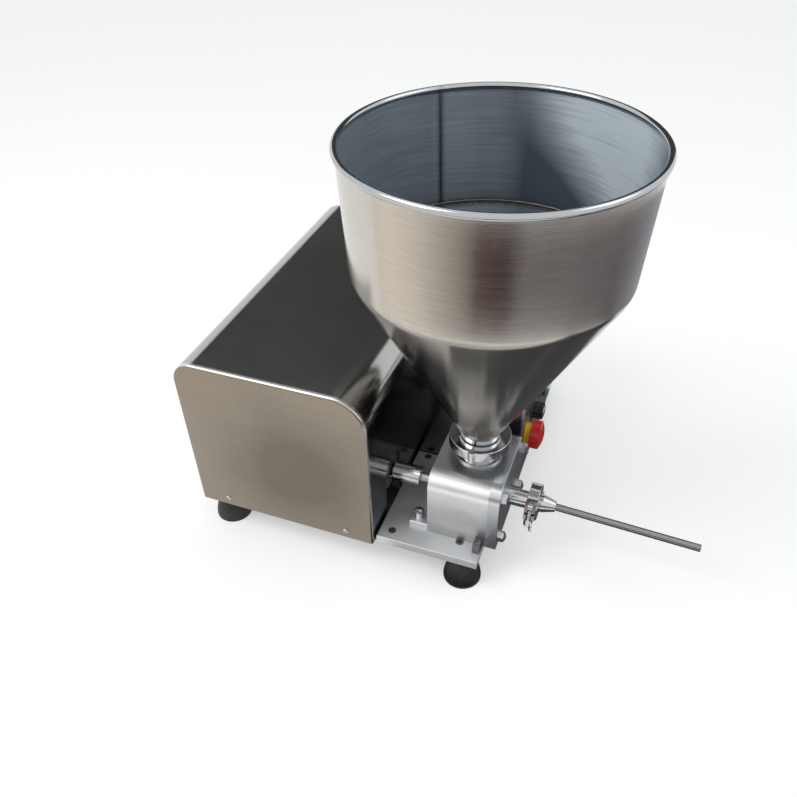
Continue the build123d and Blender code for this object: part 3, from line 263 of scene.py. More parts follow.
# front, rear and control panels: painted edge highlight on each panel's edges behind its face
frontLook = dict(panelLook,
                 zone=dict(paintedEdgeHighlight, axis=1, level=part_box("front_panel")[0][1] + edgeInset, gain=edgeGain),
                 # painted dark reflection in the middle of the front panel
                 paintedReflection=dict(middle=middleOf("front_panel"), shift=(0.03, 0.0, -0.02), reach=0.20,
                            depth=0.95))
rearLook = dict(coolLook,
                zone=dict(paintedEdgeHighlight, axis=1, level=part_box("rear_panel")[1][1] - edgeInset, gain=-edgeGain))
boxEndLook = dict(coolLook, dark=(0.40, 0.39, 0.37), light=(0.62, 0.605, 0.58), grain=grainAlongY,
                  zone=dict(paintedEdgeHighlight, axis=0, level=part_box("control_panel")[1][0] - edgeInset,
                            gain=-edgeGain))
# main cover: painted shade on its right wall
coverLook = dict(sheetLook, grain=grainAlongY,
                 zone=dict(shadedSide, axis=0, level=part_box("main_cover")[1][0] - sideInset,
                           gain=sideGain))
# control box: painted shade on its front face, with a painted reflection that lightens the box towards the
# right
boxLook = dict(sheetLook,
               zone=dict(shadedSide, light=(0.42, 0.43, 0.45), axis=1,
                         level=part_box("control_box_cover")[0][1] + sideInset, gain=-sideGain),
               rise=dict(axis=0, middle=middleOf("control_box_cover")[0], shift=0.028, change=9.0))
bottomLook = dict(sheetLook, dark=(0.2, 0.2, 0.2), light=(0.36, 0.36, 0.36), rough=0.42, wave=0.0,
                  grain=("straight", (4.0, 300.0, 300.0)))
dress(brushedMetal("coverSteel", coverLook), "main_cover")
dress(brushedMetal("frontSteel", frontLook), "front_panel")
dress(brushedMetal("rearSteel", rearLook), "rear_panel")
dress(brushedMetal("boxSteel", boxLook), "control_box_cover")
dress(brushedMetal("boxEndSteel", boxEndLook), "control_panel")
dress(brushedMetal("bottomSteel", bottomLook), "bottom_plate")
print("casing dressed")

# pump and plate; painted shade makes the pump's top and the right-hand hold-down darker
blockLook = dict(dark=(0.66, 0.665, 0.67), light=(0.90, 0.91, 0.92), cloudScale=16.0, rough=0.38,
                 grainTone=0.5, cloudTone=0.4, grainRough=0.12, cloudRough=0.14, grainBump=0.12,
                 grainDepth=0.0002, grain=("straight", (12.0, 700.0, 700.0)))
plateLook = dict(blockLook, dark=(0.64, 0.65, 0.665), light=(0.83, 0.84, 0.855), rough=0.46, metal=0.5,
                 grain=("straight", (8.0, 600.0, 600.0)))
pumpTopInset = 0.0065
pumpLook = dict(blockLook, dark=(0.42, 0.425, 0.43), light=(0.98, 0.985, 0.99),
                # painted light: the pump is lighter towards its top and darker towards its foot
                rise=dict(axis=2, middle=middleOf("pump_body")[2], shift=0.008, change=11.0),
                zone=dict(axis=2, level=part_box("pump_body")[1][2] - pumpTopInset, gain=300.0,
                          dark=(0.27, 0.275, 0.28), light=(0.43, 0.435, 0.44)))
endLook = dict(blockLook, dark=(0.50, 0.515, 0.53), light=(0.72, 0.74, 0.76), rough=0.30, grainTone=0.3,
               grainRough=0.06, grainBump=0.03, grain=("straight", (120.0, 8.0, 900.0)))
holdLook = dict(blockLook, zone=dict(axis=0, level=middleOf("pump_hold_downs")[0], gain=400.0,
                                     dark=(0.10, 0.10, 0.105), light=(0.26, 0.26, 0.27)))
dress(brushedMetal("pumpSteel", pumpLook), "pump_body")
dress(brushedMetal("holdSteel", holdLook), "pump_hold_downs")
dress(brushedMetal("coverPlateSteel", endLook), "pump_end_cover")
dress(brushedMetal("plateSteel", plateLook), "base_plate")

# turned fittings; lathe lines as (change around, lines along)
lathe = (1.0, 2600.0)
turnedLook = dict(dark=(0.46, 0.462, 0.465), light=(0.70, 0.702, 0.705), cloudScale=40.0, rough=0.14,
                  grainTone=0.4, cloudTone=0.3, grainRough=0.08, cloudRough=0.06, grainBump=0.06,
                  grainDepth=0.0001)
sleeveLook = dict(turnedLook, dark=(0.42, 0.42, 0.425), light=(0.68, 0.68, 0.685), rough=0.12,
                  grain=("turned", 0, middleOf("coupling_sleeve"), *lathe))
outletLook = dict(turnedLook, grain=("turned", 0, middleOf("outlet_ferrule"), *lathe))
neckLook = dict(turnedLook, grain=("turned", 2, middleOf("hopper_ferrule"), *lathe))
needleLook = dict(turnedLook, dark=(0.23, 0.229, 0.227), light=(0.37, 0.369, 0.367), rough=0.22,
                  grain=("straight", (6.0, 900.0, 900.0)))
dress(brushedMetal("turnedDrive", sleeveLook), "coupling_sleeve", "coupling_pin")
dress(brushedMetal("turnedOutlet", outletLook), "outlet_ferrule", "nozzle_reducer")
dress(brushedMetal("turnedNeck", neckLook), "hopper_ferrule", "inlet_spigot")
dress(brushedMetal("needleSteel", needleLook), "filling_needle")

# cast clamps, bolts and screws
castLook = dict(dark=(0.44, 0.445, 0.45), light=(0.68, 0.685, 0.69), cloudScale=45.0, rough=0.16,
                grainTone=0.2, cloudTone=0.35, grainRough=0.06, cloudRough=0.08, grainBump=0.05,
                grainDepth=0.0002, grain=("even", 420.0, 3.0, 0.6))
boltLook = dict(turnedLook, rough=0.22, cloudScale=90.0, grain=("even", 900.0, 2.0, 0.5))
sunkLook = dict(boltLook, dark=(0.10, 0.10, 0.10), light=(0.24, 0.24, 0.24), rough=0.34)
dress(brushedMetal("castSteel", castLook), "hopper_clamp_near_half", "hopper_clamp_far_half",
      "nozzle_clamp_near_half", "nozzle_clamp_far_half", "hopper_clamp_nut", "nozzle_clamp_nut")
dress(brushedMetal("boltSteel", boltLook), "hopper_clamp_bolt", "nozzle_clamp_bolt", "clamp_pins",
      "panel_screws", "foot_bolts", "pump_studs", "pump_cover_nuts", "hold_down_bolts")
dress(brushedMetal("sunkSteel", sunkLook), "base_plate_screws")
print("pump and fittings dressed")

# drive and other inner pieces
gearLook = dict(turnedLook, dark=(0.30, 0.30, 0.31), light=(0.5, 0.5, 0.51), rough=0.3,
                grain=("straight", (900.0, 30.0, 30.0)))
bronzeLook = dict(turnedLook, dark=(0.42, 0.27, 0.11), light=(0.66, 0.45, 0.2), rough=0.34,
                  grain=("straight", (800.0, 60.0, 60.0)))
stackLook = dict(turnedLook, dark=(0.12, 0.10, 0.09), light=(0.42, 0.24, 0.13), rough=0.5,
                 grainTone=1.4, grain=("straight", (1500.0, 3.0, 3.0)))
skinLook = dict(colour=(0.05, 0.055, 0.06), dusty=(0.16, 0.16, 0.16), pebbleScale=900.0, cloudScale=14.0,
                dustFrom=0.55, dustGain=2.2, rough=0.5, roughShift=0.25, pebbleBump=0.2,
                pebbleDepth=0.0003)
motorLook = dict(skinLook, colour=(0.13, 0.145, 0.16), dusty=(0.22, 0.23, 0.24), pebbleScale=420.0)
controllerLook = dict(skinLook, colour=(0.035, 0.035, 0.04))
dress(brushedMetal("gearSteel", gearLook), "pump_drive_gear", "pump_idler_gear", "gearbox_countershaft",
      "gearbox_output_shaft", "motor_rotor", "drive_bearings")
dress(brushedMetal("bushBronze", bronzeLook), "gear_bushes")
dress(brushedMetal("stackIron", stackLook), "motor_stator")
dress(mouldedSkin("motorPaint", motorLook), "motor_housing", "motor_end_bell", "gearbox_case")
dress(mouldedSkin("controllerCase", controllerLook), "motor_controller")

# rubber, seals and plastics
rubberLook = dict(skinLook, colour=(0.012, 0.012, 0.013), dusty=(0.07, 0.068, 0.065), rough=0.55,
                  dustFrom=0.52)
sealLook = dict(skinLook, colour=(0.78, 0.76, 0.71), dusty=(0.66, 0.63, 0.57), rough=0.5, pebbleBump=0.1)
yellowLook = dict(skinLook, colour=(0.86, 0.55, 0.012), dusty=(0.62, 0.4, 0.03), rough=0.36,
                  pebbleBump=0.12)
redLook = dict(skinLook, colour=(0.62, 0.012, 0.01), dusty=(0.45, 0.03, 0.025), rough=0.26,
               pebbleBump=0.06)
blackLook = dict(skinLook, colour=(0.016, 0.016, 0.017), rough=0.4)
greenLook = dict(skinLook, colour=(0.012, 0.11, 0.03), dusty=(0.03, 0.13, 0.05), rough=0.28,
                 pebbleBump=0.06)
chromeLook = dict(turnedLook, dark=(0.6, 0.6, 0.6), light=(0.8, 0.8, 0.8), rough=0.09,
                  grain=("even", 700.0, 2.0, 0.5))
chromeRing = brushedMetal("chromeRing", chromeLook)
dress(mouldedSkin("footRubber", rubberLook), "rubber_feet")
dress(mouldedSkin("sealRubber", sealLook), "hopper_gasket", "nozzle_gasket", "pump_cover_seal",
      "shaft_seal")
dress(mouldedSkin("yellowPlastic", yellowLook), "estop_base")
dress(mouldedSkin("redPlastic", redLook), "estop_head")
dress(mouldedSkin("blackPlastic", blackLook), "speed_knob_base", "speed_knob", "mains_inlet",
      "power_rocker")
dress(mouldedSkin("greenPlastic", greenLook), "start_button_cap")
dress(chromeRing, "start_button_base", "pedal_socket")
print("rubber and plastics dressed")


# mesh of a grid piece or of loose bars, linked into the scene
def meshObject(name, points, faces, material):
    mesh = bpy.data.meshes.new(name)
    mesh.from_pydata(points.reshape(-1, 3).tolist(), [], faces.tolist())
    mesh.materials.append(material)
    made = bpy.data.objects.new(name, mesh)
    scene.collection.objects.link(made)
    return made


# four-sided faces between neighbours in a grid of points, row by row
def gridFaces(rows, columns, joinRows, joinColumns):
    i = np.arange(rows if joinRows else rows - 1)[:, None]
    j = np.arange(columns if joinColumns else columns - 1)[None, :]
    nextRow = (i + 1) % rows
    nextColumn = (j + 1) % columns
    corners = [i * columns + j, i * columns + nextColumn,
               nextRow * columns + nextColumn, nextRow * columns + j]
    return np.stack(np.broadcast_arrays(*corners), axis=-1).reshape(-1, 4)


# new smooth piece from a grid of points; marks say which points lie inside
def gridPiece(name, points, material, body, joinRows, joinColumns, marks=None, sharpAngle=40.0):
    faces = gridFaces(*points.shape[:2], joinRows, joinColumns)
    flat = points.reshape(-1, 3)
    a, b, c, d = (flat[faces[:, k]] for k in range(4))
    volume = (np.cross(a, b) * c + np.cross(a, c) * d).sum()  # six times the enclosed volume
    if volume < 0:
        faces = faces[:, ::-1]
    piece = meshObject(name, points, faces, material)
    mesh = piece.data
    mesh.polygons.foreach_set("use_smooth", np.ones(len(faces), bool))
    mesh.set_sharp_from_angle(angle=math.radians(sharpAngle))
    if marks is not None:
        mesh.attributes.new("inside", "FLOAT", "POINT").data.foreach_set("value", marks.ravel())
    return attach(piece, body)


# a closed (radius, way along) profile swung round an axis: centre + radius * direction + way * axis
def turnedPiece(name, profile, centre, axis, material, body, steps, inside=None):
    swing = np.linspace(0, 2 * np.pi, steps, endpoint=False)
    radius, way = np.asarray(profile, float).T
    first, second = (axis + 1) % 3, (axis + 2) % 3
    points = np.zeros((len(radius), steps, 3))
    points[:, :, first] = centre[first] + radius[:, None] * np.cos(swing)
    points[:, :, second] = centre[second] + radius[:, None] * np.sin(swing)
    points[:, :, axis] = way[:, None]
    marks = None if inside is None else np.repeat(np.asarray(inside, float), steps)
    return gridPiece(name, points, material, body, True, True, marks)


# arc in a profile: centre + radius * (cosine, sine), between two angles in degrees
def arcOf(centre, radius, start, end, steps):
    angle = np.radians(np.linspace(start, end, steps))
    return np.stack([centre[0] + radius * np.cos(angle), centre[1] + radius * np.sin(angle)], axis=1)


# straight line in a profile: start and end mixed by an even share
def lineOf(start, end, steps):
    share = np.linspace(0, 1, steps)[:, None]
    return np.asarray(start) * (1 - share) + np.asarray(end) * share


# hopper: rolled rim, slightly flared wall and cone, with the corner between them eased
hopper = dict(lowerRadius=0.150, upperRadius=0.1566, wall=0.0015, bead=0.0036, beadFrom=-88,
              neckRadius=0.0255, ease=0.026, steps=256, wallSteps=14, beadSteps=28, coneSteps=18,
              easeSteps=8, seamAngle=129.0, scorch=0.006, stain=0.007, outerScorch=0.25)
hopperMiddle = middleOf("hopper_shell")
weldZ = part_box("hopper_shell")[0][2]
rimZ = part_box("hopper_shell")[1][2]
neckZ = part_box("hopper_cone")[0][2]
wallTop = rimZ - 2 * hopper["bead"]

# lines and streaks as (change around, lines along, detail), other noise as (scale, detail, roughness);
# each painted bright stretch of light on the inner wall as (heading, cosine at its edge, gain, weight)
# the outside tones carry a painted warm tint of reflected light, the inside tones a painted cool tint of
# sky light
hopperLook = dict(dark=(0.42, 0.388, 0.35), light=(0.66, 0.618, 0.565), coneTone=0.66, coneEdge=200,
                  lines=(2.5, 1500.0, 4.0), streaks=(2.0, 330.0, 3.0), cloud=(7.0, 4.0, 0.6),
                  fleck=(420.0, 3.0, 0.7), wave=(13.0, 1.0, 0.4), lineTone=0.8, cloudTone=0.8,
                  rim=(0.50, 0.51, 0.525), rimInset=0.0004, rimGain=4000,
                  scorched=(0.045, 0.04, 0.038), seamBurn=0.8, seamSide=100, footBurn=1.2, fleckGain=5,
                  fleckFrom=1.7, burntRough=0.2,
                  insideDark=(0.058, 0.076, 0.102), insideLight=(0.83, 0.93, 1.0), insideMetal=0.12,
                  paintedLight=((54, 0.72, 4.2, 0.95), (113, 0.93, 13.0, 0.26), (165, 0.60, 3.6, 0.22)),
                  paintedLightFloor=0.05, slantFoot=0.0275, slantSlope=0.83, slantGain=14,
                  footGain=22, footLevel=0.45, footLeast=0.4, conePaintedLight=0.32, coneFrom=0.2, coneGain=9,
                  paintedLightEven=0.3, paintedLightGrain=0.4, paintedLightStreak=1.1,
                  rough=0.18, insideRough=0.30, rimRough=0.12, lineRough=0.10, cloudRough=0.08,
                  waveBump=3.0, lineBump=0.10, lineDepth=0.0002)


# way towards a heading
def ahead(degrees, x, y):
    return x * math.cos(math.radians(degrees)) + y * math.sin(math.radians(degrees))


# way to the left of a heading
def aside(degrees, x, y):
    return y * math.cos(math.radians(degrees)) - x * math.sin(math.radians(degrees))


# painted light and shade on the inner wall: bright stretches that each face a heading, painted darker
# towards the foot; on the cone it is even
def paintedInnerLight(finish, x, y, z):
    look = hopperLook
    out = finish.length(x, y)
    paintedLight = look["paintedLightFloor"]
    for index, (degrees, edge, gain, weight) in enumerate(look["paintedLight"]):
        lobe = finish.clamp((ahead(degrees, x, y) / out - edge) * gain) * weight
        if index == 0:  # the brightest stretch ends on a slant above the foot of the wall, a painted shadow of the near rim
            slant = z - look["slantFoot"] - aside(degrees, x, y) * look["slantSlope"]
            lobe = lobe * finish.clamp(slant * look["slantGain"] + 0.5)
        paintedLight = paintedLight + lobe
    foot = finish.clamp(z * look["footGain"] + look["footLevel"])
    paintedLight = paintedLight * (foot * (1 - look["footLeast"]) + look["footLeast"])
    return paintedLight + finish.clamp(-look["coneFrom"] - z * look["coneGain"]) * look["conePaintedLight"]


# brushed round the axis, with painted light and shade and a painted cool tint inside; scorched beside the
# seam and stained at the foot of the wall
def hopperSteel():
    look = hopperLook
    finish = Finish("hopperSteel")
    place = finish.place()
    inside = finish.node("ShaderNodeAttribute", {"attribute_name": "inside"}, None, "Fac")
    line = finish.roundGrain(2, hopperMiddle, *look["lines"])
    streak = finish.roundGrain(2, hopperMiddle, *look["streaks"])
    cloud = finish.noise(place, *look["cloud"])
    fleck = finish.noise(place, *look["fleck"])
    x, y, z = (value - middle for value, middle in zip(finish.axes(), (*hopperMiddle[:2], weldZ)))
    fromSeam = finish.calc("ABSOLUTE", aside(hopper["seamAngle"], x, y))
    nearSeam = finish.clamp(1 - fromSeam / (hopper["scorch"] * (0.5 + cloud)))
    nearSeam = nearSeam * finish.clamp(ahead(hopper["seamAngle"], x, y) * look["seamSide"])
    nearFoot = finish.clamp(1 - finish.calc("ABSOLUTE", z) / hopper["stain"])
    flecks = finish.clamp(fleck * look["fleckGain"] - look["fleckFrom"])
    burnt = finish.clamp(nearSeam * look["seamBurn"] + nearFoot * flecks * look["footBurn"])
    burnt = burnt * (inside * (1 - hopper["outerScorch"]) + hopper["outerScorch"])
    shade = finish.clamp(0.5 + (line - 0.5) * look["lineTone"] + (cloud - 0.5) * look["cloudTone"])
    # the cone's outside is given darker tones than the wall
    coneTones = [tuple(c * look["coneTone"] for c in look[tone]) for tone in ("dark", "light")]
    outer = finish.blend(finish.clamp(z * look["coneEdge"] + 0.5), finish.blend(shade, *coneTones),
                         finish.blend(shade, look["dark"], look["light"]))
    rim = finish.clamp((z - (wallTop - weldZ - look["rimInset"])) * look["rimGain"])
    paintedLight = paintedInnerLight(finish, x, y, z)
    paintedLight = paintedLight * (look["paintedLightEven"] + shade * look["paintedLightGrain"] + streak * look["paintedLightStreak"])
    inner = finish.blend(finish.clamp(paintedLight), look["insideDark"], look["insideLight"])
    bare = finish.blend(rim, finish.blend(inside, outer, inner), look["rim"])
    finish.feed("Base Color", finish.blend(burnt, bare, look["scorched"]))
    within = inside * (1 - rim)
    rough = look["rough"] + within * (look["insideRough"] - look["rough"]) + burnt * look["burntRough"]
    rough = rough + rim * (look["rimRough"] - look["rough"])
    rough = rough + (line - 0.5) * look["lineRough"] + (cloud - 0.5) * look["cloudRough"]
    finish.feed("Roughness", finish.clamp(rough))
    finish.feed("Metallic", 1 - within * (1 - look["insideMetal"]))
    wave = finish.noise(place, *look["wave"])
    finish.bump(line + wave * look["waveBump"], look["lineBump"], look["lineDepth"])
    return finish.material


spun = hopperSteel()
rimMiddle = (hopper["upperRadius"], rimZ - hopper["bead"])
beadEnd = 180 + math.degrees(math.acos(hopper["wall"] / hopper["bead"]))
coneRun = hopper["lowerRadius"] - hopper["neckRadius"]
coneWall = hopper["wall"] * math.hypot(coneRun, weldZ - neckZ) / (weldZ - neckZ)
wallLean = math.atan2(hopper["upperRadius"] - hopper["lowerRadius"], wallTop - weldZ)
coneLean = math.atan2(coneRun, weldZ - neckZ)


# eased corner: an arc that touches wall and cone; half 0 of it starts at the wall, half 1 ends at the cone
def easedCorner(corner, half):
    ease = hopper["ease"]
    touch = ease * math.tan((coneLean - wallLean) / 2)
    start = (corner[0] + touch * math.sin(wallLean), corner[1] + touch * math.cos(wallLean))
    centre = (start[0] - ease * math.cos(wallLean), start[1] + ease * math.sin(wallLean))
    first, last = -math.degrees(wallLean), -math.degrees(coneLean)
    middle = (first + last) / 2
    ends = (first, middle) if half == 0 else (middle, last)
    return arcOf(centre, ease, *ends, hopper["easeSteps"])


outerCorner = (hopper["lowerRadius"], weldZ)
innerCorner = (hopper["lowerRadius"] - hopper["wall"], weldZ)
wallOuter = easedCorner(outerCorner, 0)
wallInner = easedCorner(innerCorner, 0)
outerTop = (hopper["upperRadius"], wallTop)
innerTop = (hopper["upperRadius"] - hopper["wall"], wallTop)
outerLine = lineOf(wallOuter[0], outerTop, hopper["wallSteps"])[1:]
innerLine = lineOf(innerTop, wallInner[0], hopper["wallSteps"])[:-1]
rimBead = arcOf(rimMiddle, hopper["bead"], hopper["beadFrom"], beadEnd, hopper["beadSteps"])
shellProfile = np.concatenate([wallOuter[::-1], outerLine, rimBead, innerLine, wallInner])
shellInside = np.arange(len(shellProfile)) >= len(shellProfile) - len(innerLine) - len(wallInner)
shell = turnedPiece("hopperWall", shellProfile, hopperMiddle, 2, spun, "machine", hopper["steps"],
                    shellInside)
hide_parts("hopper_shell")
coneOuter = easedCorner(outerCorner, 1)
coneInner = easedCorner((hopper["lowerRadius"] - coneWall, weldZ), 1)
risingLine = lineOf((hopper["neckRadius"], neckZ), coneOuter[-1], hopper["coneSteps"])[:-1]
fallingLine = lineOf(coneInner[-1], (hopper["neckRadius"] - coneWall, neckZ), hopper["coneSteps"])[1:]
coneProfile = np.concatenate([risingLine, coneOuter[::-1], coneInner, fallingLine])
coneInside = np.arange(len(coneProfile)) >= len(risingLine) + len(coneOuter)
cone = turnedPiece("hopperCone", coneProfile, hopperMiddle, 2, spun, "machine", hopper["steps"],
                   coneInside)
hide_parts("hopper_cone")
print("hopper made")

# weld beads: a flat ellipse with a rippled crest, dark along its length
seam = dict(width=0.0028, height=0.0006, start=0.002, steps=160, pitch=0.003, ripple=0.12, sides=12)
weld = dict(width=0.0032, height=0.0007, steps=256, ripples=300, ripple=0.15, sides=12)
seamLook = dict(castLook, dark=(0.07, 0.065, 0.06), light=(0.26, 0.25, 0.24), rough=0.42,
                cloudScale=120.0, grain=("even", 260.0, 4.0, 0.7))
seamSteel = brushedMetal("seamSteel", seamLook)


# 1 plus a sine wave of a pitch and a depth
def rippled(along, pitch, depth):
    return 1 + depth * np.sin(2 * np.pi * along / pitch)


# seam up the wall: across the bead an ellipse, along it the wall's inner line
def wallSeam(name, angle):
    share = np.linspace(0, 1, seam["steps"])
    way = weldZ + seam["start"] + share * (wallTop - weldZ - seam["start"])
    flare = (way - weldZ) / (wallTop - weldZ)
    base = hopper["lowerRadius"] + flare * (hopper["upperRadius"] - hopper["lowerRadius"]) - hopper["wall"]
    swing = np.linspace(0, 2 * np.pi, seam["sides"], endpoint=False)
    ripple = rippled(way, seam["pitch"], seam["ripple"])
    out = base[:, None] - np.sin(swing)[None, :] * seam["height"] * ripple[:, None]
    across = np.cos(swing)[None, :] * seam["width"] / 2 * ripple[:, None]
    turn = math.radians(angle) + across / base[:, None]
    points = np.stack([hopperMiddle[0] + out * np.cos(turn), hopperMiddle[1] + out * np.sin(turn),
                       np.broadcast_to(way[:, None], out.shape)], axis=-1)
    points[0] = points[0].mean(0)
    points[-1] = points[-1].mean(0)
    return gridPiece(name, points, seamSteel, "machine", False, True)


# ring where the wall meets the cone: the same ellipse carried round the axis
def weldRing(name, radius, way):
    swing = np.linspace(0, 2 * np.pi, weld["steps"], endpoint=False)
    turn = np.linspace(0, 2 * np.pi, weld["sides"], endpoint=False)
    ripple = rippled(swing * radius, 2 * np.pi * radius / weld["ripples"], weld["ripple"])
    out = radius + np.cos(turn)[:, None] * weld["height"] * ripple
    rise = way + np.sin(turn)[:, None] * weld["width"] / 2 * ripple
    points = np.stack([hopperMiddle[0] + out * np.cos(swing), hopperMiddle[1] + out * np.sin(swing), rise],
                      axis=-1)
    return gridPiece(name, points, seamSteel, "machine", True, True)


wallSeam("hopperSeam", hopper["seamAngle"])
weldRing("hopperWeld", *wallInner[-1])
print("weld beads made")

# speed knob: bright cap, dished in the middle, and a ring of marks on the dial
knob = dict(capRadius=0.0086, capRise=0.0012, capSteps=72, capHole=0.0004, capSink=0.0006, lip=0.0005,
            lipDrop=0.0007, lipSteps=6, dishReach=0.8, dishRise=0.7, hubRise=0.75, marks=11, sweep=280.0,
            markIn=0.0132, markOut=0.0160, markWidth=0.0007, markRise=0.00012, markSink=0.0001,
            dialDrop=0.010)
knobMiddle = middleOf("speed_knob")
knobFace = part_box("speed_knob")[1][0]
capProfile = np.concatenate([
    [(knob["capHole"], knobFace - knob["capSink"]), (knob["capRadius"], knobFace - knob["capSink"])],
    arcOf((knob["capRadius"] - knob["lip"], knobFace + knob["capRise"] - knob["lipDrop"]), knob["lip"],
          0, 90, knob["lipSteps"]),
    [(knob["capRadius"] * knob["dishReach"], knobFace + knob["capRise"] * knob["dishRise"]),
     (knob["capHole"], knobFace + knob["capRise"] * knob["hubRise"])]])
cap = turnedPiece("knobCap", capProfile, knobMiddle, 0, chromeRing, "speed_control", knob["capSteps"])

markLook = dict(skinLook, colour=(0.8, 0.8, 0.78), dusty=(0.6, 0.6, 0.58), rough=0.5)
markPaint = mouldedSkin("markPaint", markLook)


# dial marks: small bars laid out along an arc, eight corners each
def dialMarks(name):
    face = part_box("speed_knob_base")[1][0] - knob["dialDrop"]
    angle = np.radians(np.linspace(-knob["sweep"] / 2, knob["sweep"] / 2, knob["marks"]))
    corner = np.array([(r, s, h) for h in (0, 1) for r, s in ((0, -1), (1, -1), (1, 1), (0, 1))], float)
    reach = knob["markIn"] + corner[:, 0] * (knob["markOut"] - knob["markIn"])
    side = corner[:, 1] * knob["markWidth"] / 2
    sink = knob["markSink"]
    points = np.zeros((len(angle), 8, 3))
    points[:, :, 0] = face - sink + corner[None, :, 2] * (knob["markRise"] + sink)
    points[:, :, 1] = knobMiddle[1] + reach * np.sin(angle)[:, None] + side * np.cos(angle)[:, None]
    points[:, :, 2] = knobMiddle[2] + reach * np.cos(angle)[:, None] - side * np.sin(angle)[:, None]
    bar = np.array([(0, 1, 2, 3), (7, 6, 5, 4), (0, 4, 5, 1), (1, 5, 6, 2), (2, 6, 7, 3), (3, 7, 4, 0)])
    faces = (np.arange(len(angle))[:, None, None] * 8 + bar[None]).reshape(-1, 4)
    piece = meshObject(name, points, faces, markPaint)
    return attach(piece, "machine")


dialMarks("dialMarks")
print("knob details made")

# floor and world, pale to the eye and dimmer as lights
stageLook = dict(floor=(0.86, 0.86, 0.85), floorReach=8, floorPaler=1.03, floorCloud=(1.5, 2.0, 0.5),
                 floorRough=0.8, floorGloss=0.2, floorGlow=0.38, world=0.55, sky=(0.95, 0.975, 1.0, 1.0))


# open grid of points on the stage; a card is there for reflections only
def stagePlane(name, points, material, onlyReflected):
    plane = meshObject(name, points, gridFaces(*points.shape[:2], False, False), material)
    if onlyReflected:
        for ray in ("camera", "diffuse", "shadow", "transmission"):
            setattr(plane, f"visible_{ray}", False)


# flat grid of four points: a corner, its two neighbours and the one opposite
def rectangle(corner, acrossTo, upTo):
    corner, acrossTo, upTo = (np.asarray(p, float) for p in (corner, acrossTo, upTo))
    return np.array([[corner, acrossTo], [upTo, acrossTo + upTo - corner]])


def floorPaint():
    finish = Finish("paleFloor", Roughness=stageLook["floorRough"],
                    Specular_IOR_Level=stageLook["floorGloss"])
    cloud = finish.noise(finish.place(), *stageLook["floorCloud"])
    paler = tuple(min(1.0, c * stageLook["floorPaler"]) for c in stageLook["floor"])
    finish.feed("Base Color", finish.blend(cloud, stageLook["floor"], paler))
    glow = finish.node("ShaderNodeEmission", None, {"Strength": finish.seen() * stageLook["floorGlow"]})
    painted = Value(finish, finish.shader.outputs[0])
    both = finish.node("ShaderNodeAddShader", None, {0: painted, 1: glow})
    finish.link(both, finish.tree.nodes["Material Output"].inputs["Surface"])
    return finish.material


reach = stageLook["floorReach"]
floorPoints = rectangle((-reach, -reach, 0), (reach, -reach, 0), (-reach, reach, 0))
stagePlane("floor", floorPoints, floorPaint(), False)

scene.world = bpy.data.worlds.new("studio")
scene.world.use_nodes = True
studio = Graph(scene.world.node_tree)
background = studio.tree.nodes["Background"]
background.inputs["Color"].default_value = stageLook["sky"]
studio.link(stageLook["world"] + studio.seen() * (1 - stageLook["world"]), background.inputs["Strength"])


# card that gives off a colour and reflects nothing
def cardFinish(name, colour=(1.0, 1.0, 1.0)):
    return Finish(name, Roughness=1.0, Specular_IOR_Level=0.0, Base_Color=(0, 0, 0, 1),
                  Emission_Color=(*colour, 1), Emission_Strength=1.0)


rearCard = np.array([[(-0.33, 1.9, 0.35), (0.8, 1.9, 0.35)], [(-3.34, 1.9, 2.7), (0.8, 1.9, 2.7)]])
stagePlane("rearCard", rearCard, cardFinish("rearCardDark", (0.07, 0.07, 0.068)).material, True)
underCard = rectangle((-0.06, -0.26, 0.003), (0.62, -0.26, 0.003), (-0.06, 0.24, 0.003))
stagePlane("underCard", underCard, cardFinish("underCardDark", (0.09, 0.09, 0.095)).material, True)

# standing card bent round the hopper's axis, as a room: bright on the left, a dark warm stretch,
# dim on the right; each stop is (heading in degrees, strength, tint)
roundCard = dict(radius=0.64, height=0.27, steps=120, warm=(1.0, 0.95, 0.88), rust=(1.0, 0.56, 0.58),
                 cool=(1.0, 0.97, 1.05), sky=(1.0, 1.04, 1.18),
                 stops=((-162, 0.95, "warm"), (-149, 1.08, "warm"), (-128, 0.92, "warm"),
                        (-91, 0.27, "warm"), (-86, 0.12, "rust"), (-67, 0.06, "rust"), (-55, 0.24, "cool"),
                        (-20, 0.21, "cool"), (15, 0.165, "cool"), (73, 0.42, "sky")))


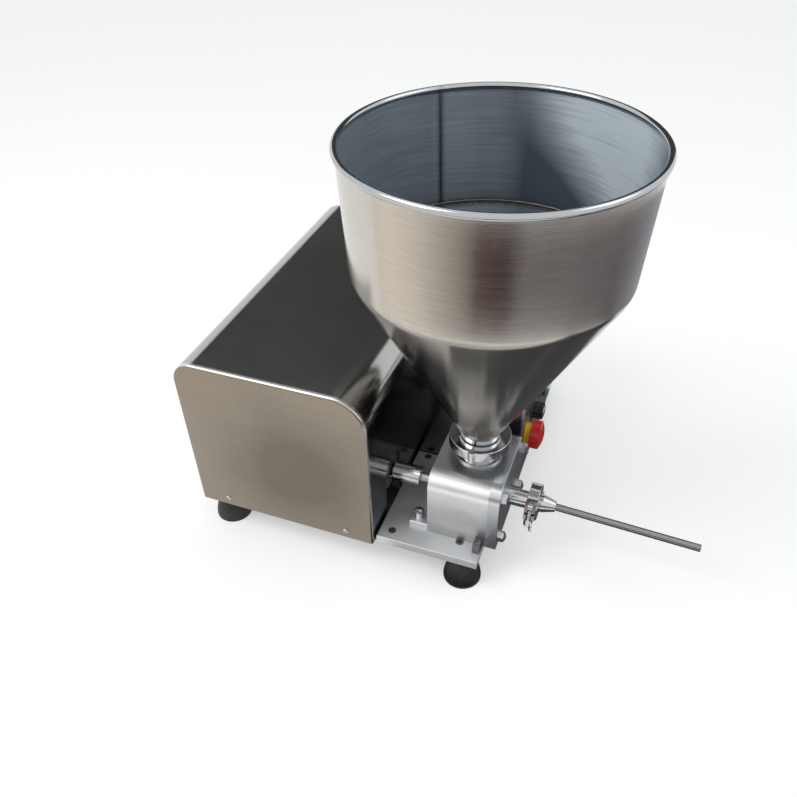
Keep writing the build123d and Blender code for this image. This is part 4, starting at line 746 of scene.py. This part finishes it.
# bent card: centre + radius * (cosine, sine) of the heading, from the floor to its height
def bentCard(name):
    first, last = roundCard["stops"][0][0], roundCard["stops"][-1][0]
    heading = np.radians(np.linspace(first, last, roundCard["steps"]))
    points = np.zeros((2, roundCard["steps"], 3))
    points[:, :, 0] = hopperMiddle[0] + roundCard["radius"] * np.cos(heading)
    points[:, :, 1] = hopperMiddle[1] + roundCard["radius"] * np.sin(heading)
    points[1, :, 2] = roundCard["height"]
    card = cardFinish(name + "Finish")
    x, y = (value - middle for value, middle in zip(card.axes(), hopperMiddle[:2]))
    share = (card.calc("ARCTAN2", y, x) - math.radians(first)) / math.radians(last - first)
    stops = [((degrees - first) / (last - first), tuple(strength * c for c in roundCard[tint]))
             for degrees, strength, tint in roundCard["stops"]]
    card.feed("Emission Color", card.node("ShaderNodeValToRGB", {"stops": stops}, {0: share}))
    stagePlane(name, points, card.material, True)


bentCard("roundCard")


def unit(vector):
    return np.asarray(vector, float) / np.linalg.norm(vector)


# puts a lamp or camera at a place, with its own x, y and z along right, above and back
def stand(thing, right, above, back, place):
    scene.collection.objects.link(thing)
    turn = np.eye(4)
    turn[:3] = np.stack([right, above, back, place], axis=1)
    thing.matrix_world = Matrix(turn.tolist())


def softbox(name, place, target, size, power, colour):
    lamp = bpy.data.lights.new(name, "AREA")
    lamp.shape = "RECTANGLE"
    lamp.size, lamp.size_y = size
    lamp.energy = power
    lamp.color = colour
    back = unit(np.subtract(place, target))
    right = unit(np.cross((0, 0, 1), back))
    stand(bpy.data.objects.new(name, lamp), right, np.cross(back, right), back, place)


lamps = dict(keyLamp=dict(place=(-1.1, -1.0, 2.0), target=(0, 0, 0.2), size=(1.2, 1.2), power=16.0,
                          colour=(1.0, 0.98, 0.95)),
             fillLamp=dict(place=(1.5, 0.3, 1.9), target=(0.05, 0, 0.2), size=(1.0, 1.0), power=6.0,
                           colour=(0.93, 0.97, 1.0)))
for lampName, lampLook in lamps.items():
    softbox(lampName, **lampLook)

viewpoint = dict(place=(0.20467, -0.79513, 0.84000), right=(0.9368, 0.3495, -0.0204),
                 above=(-0.2105, 0.6088, 0.7649), lens=34.627, sensor=36.0, reach=50.0)
lens = bpy.data.cameras.new("photoView")
lens.sensor_width = viewpoint["sensor"]
lens.lens = viewpoint["lens"]
lens.clip_end = viewpoint["reach"]
camera = bpy.data.objects.new("photoView", lens)
right = unit(viewpoint["right"])
above = unit(viewpoint["above"] - right * np.dot(right, viewpoint["above"]))
stand(camera, right, above, np.cross(right, above), viewpoint["place"])
scene.camera = camera
scene.view_settings.view_transform = "Standard"
print("stage set")
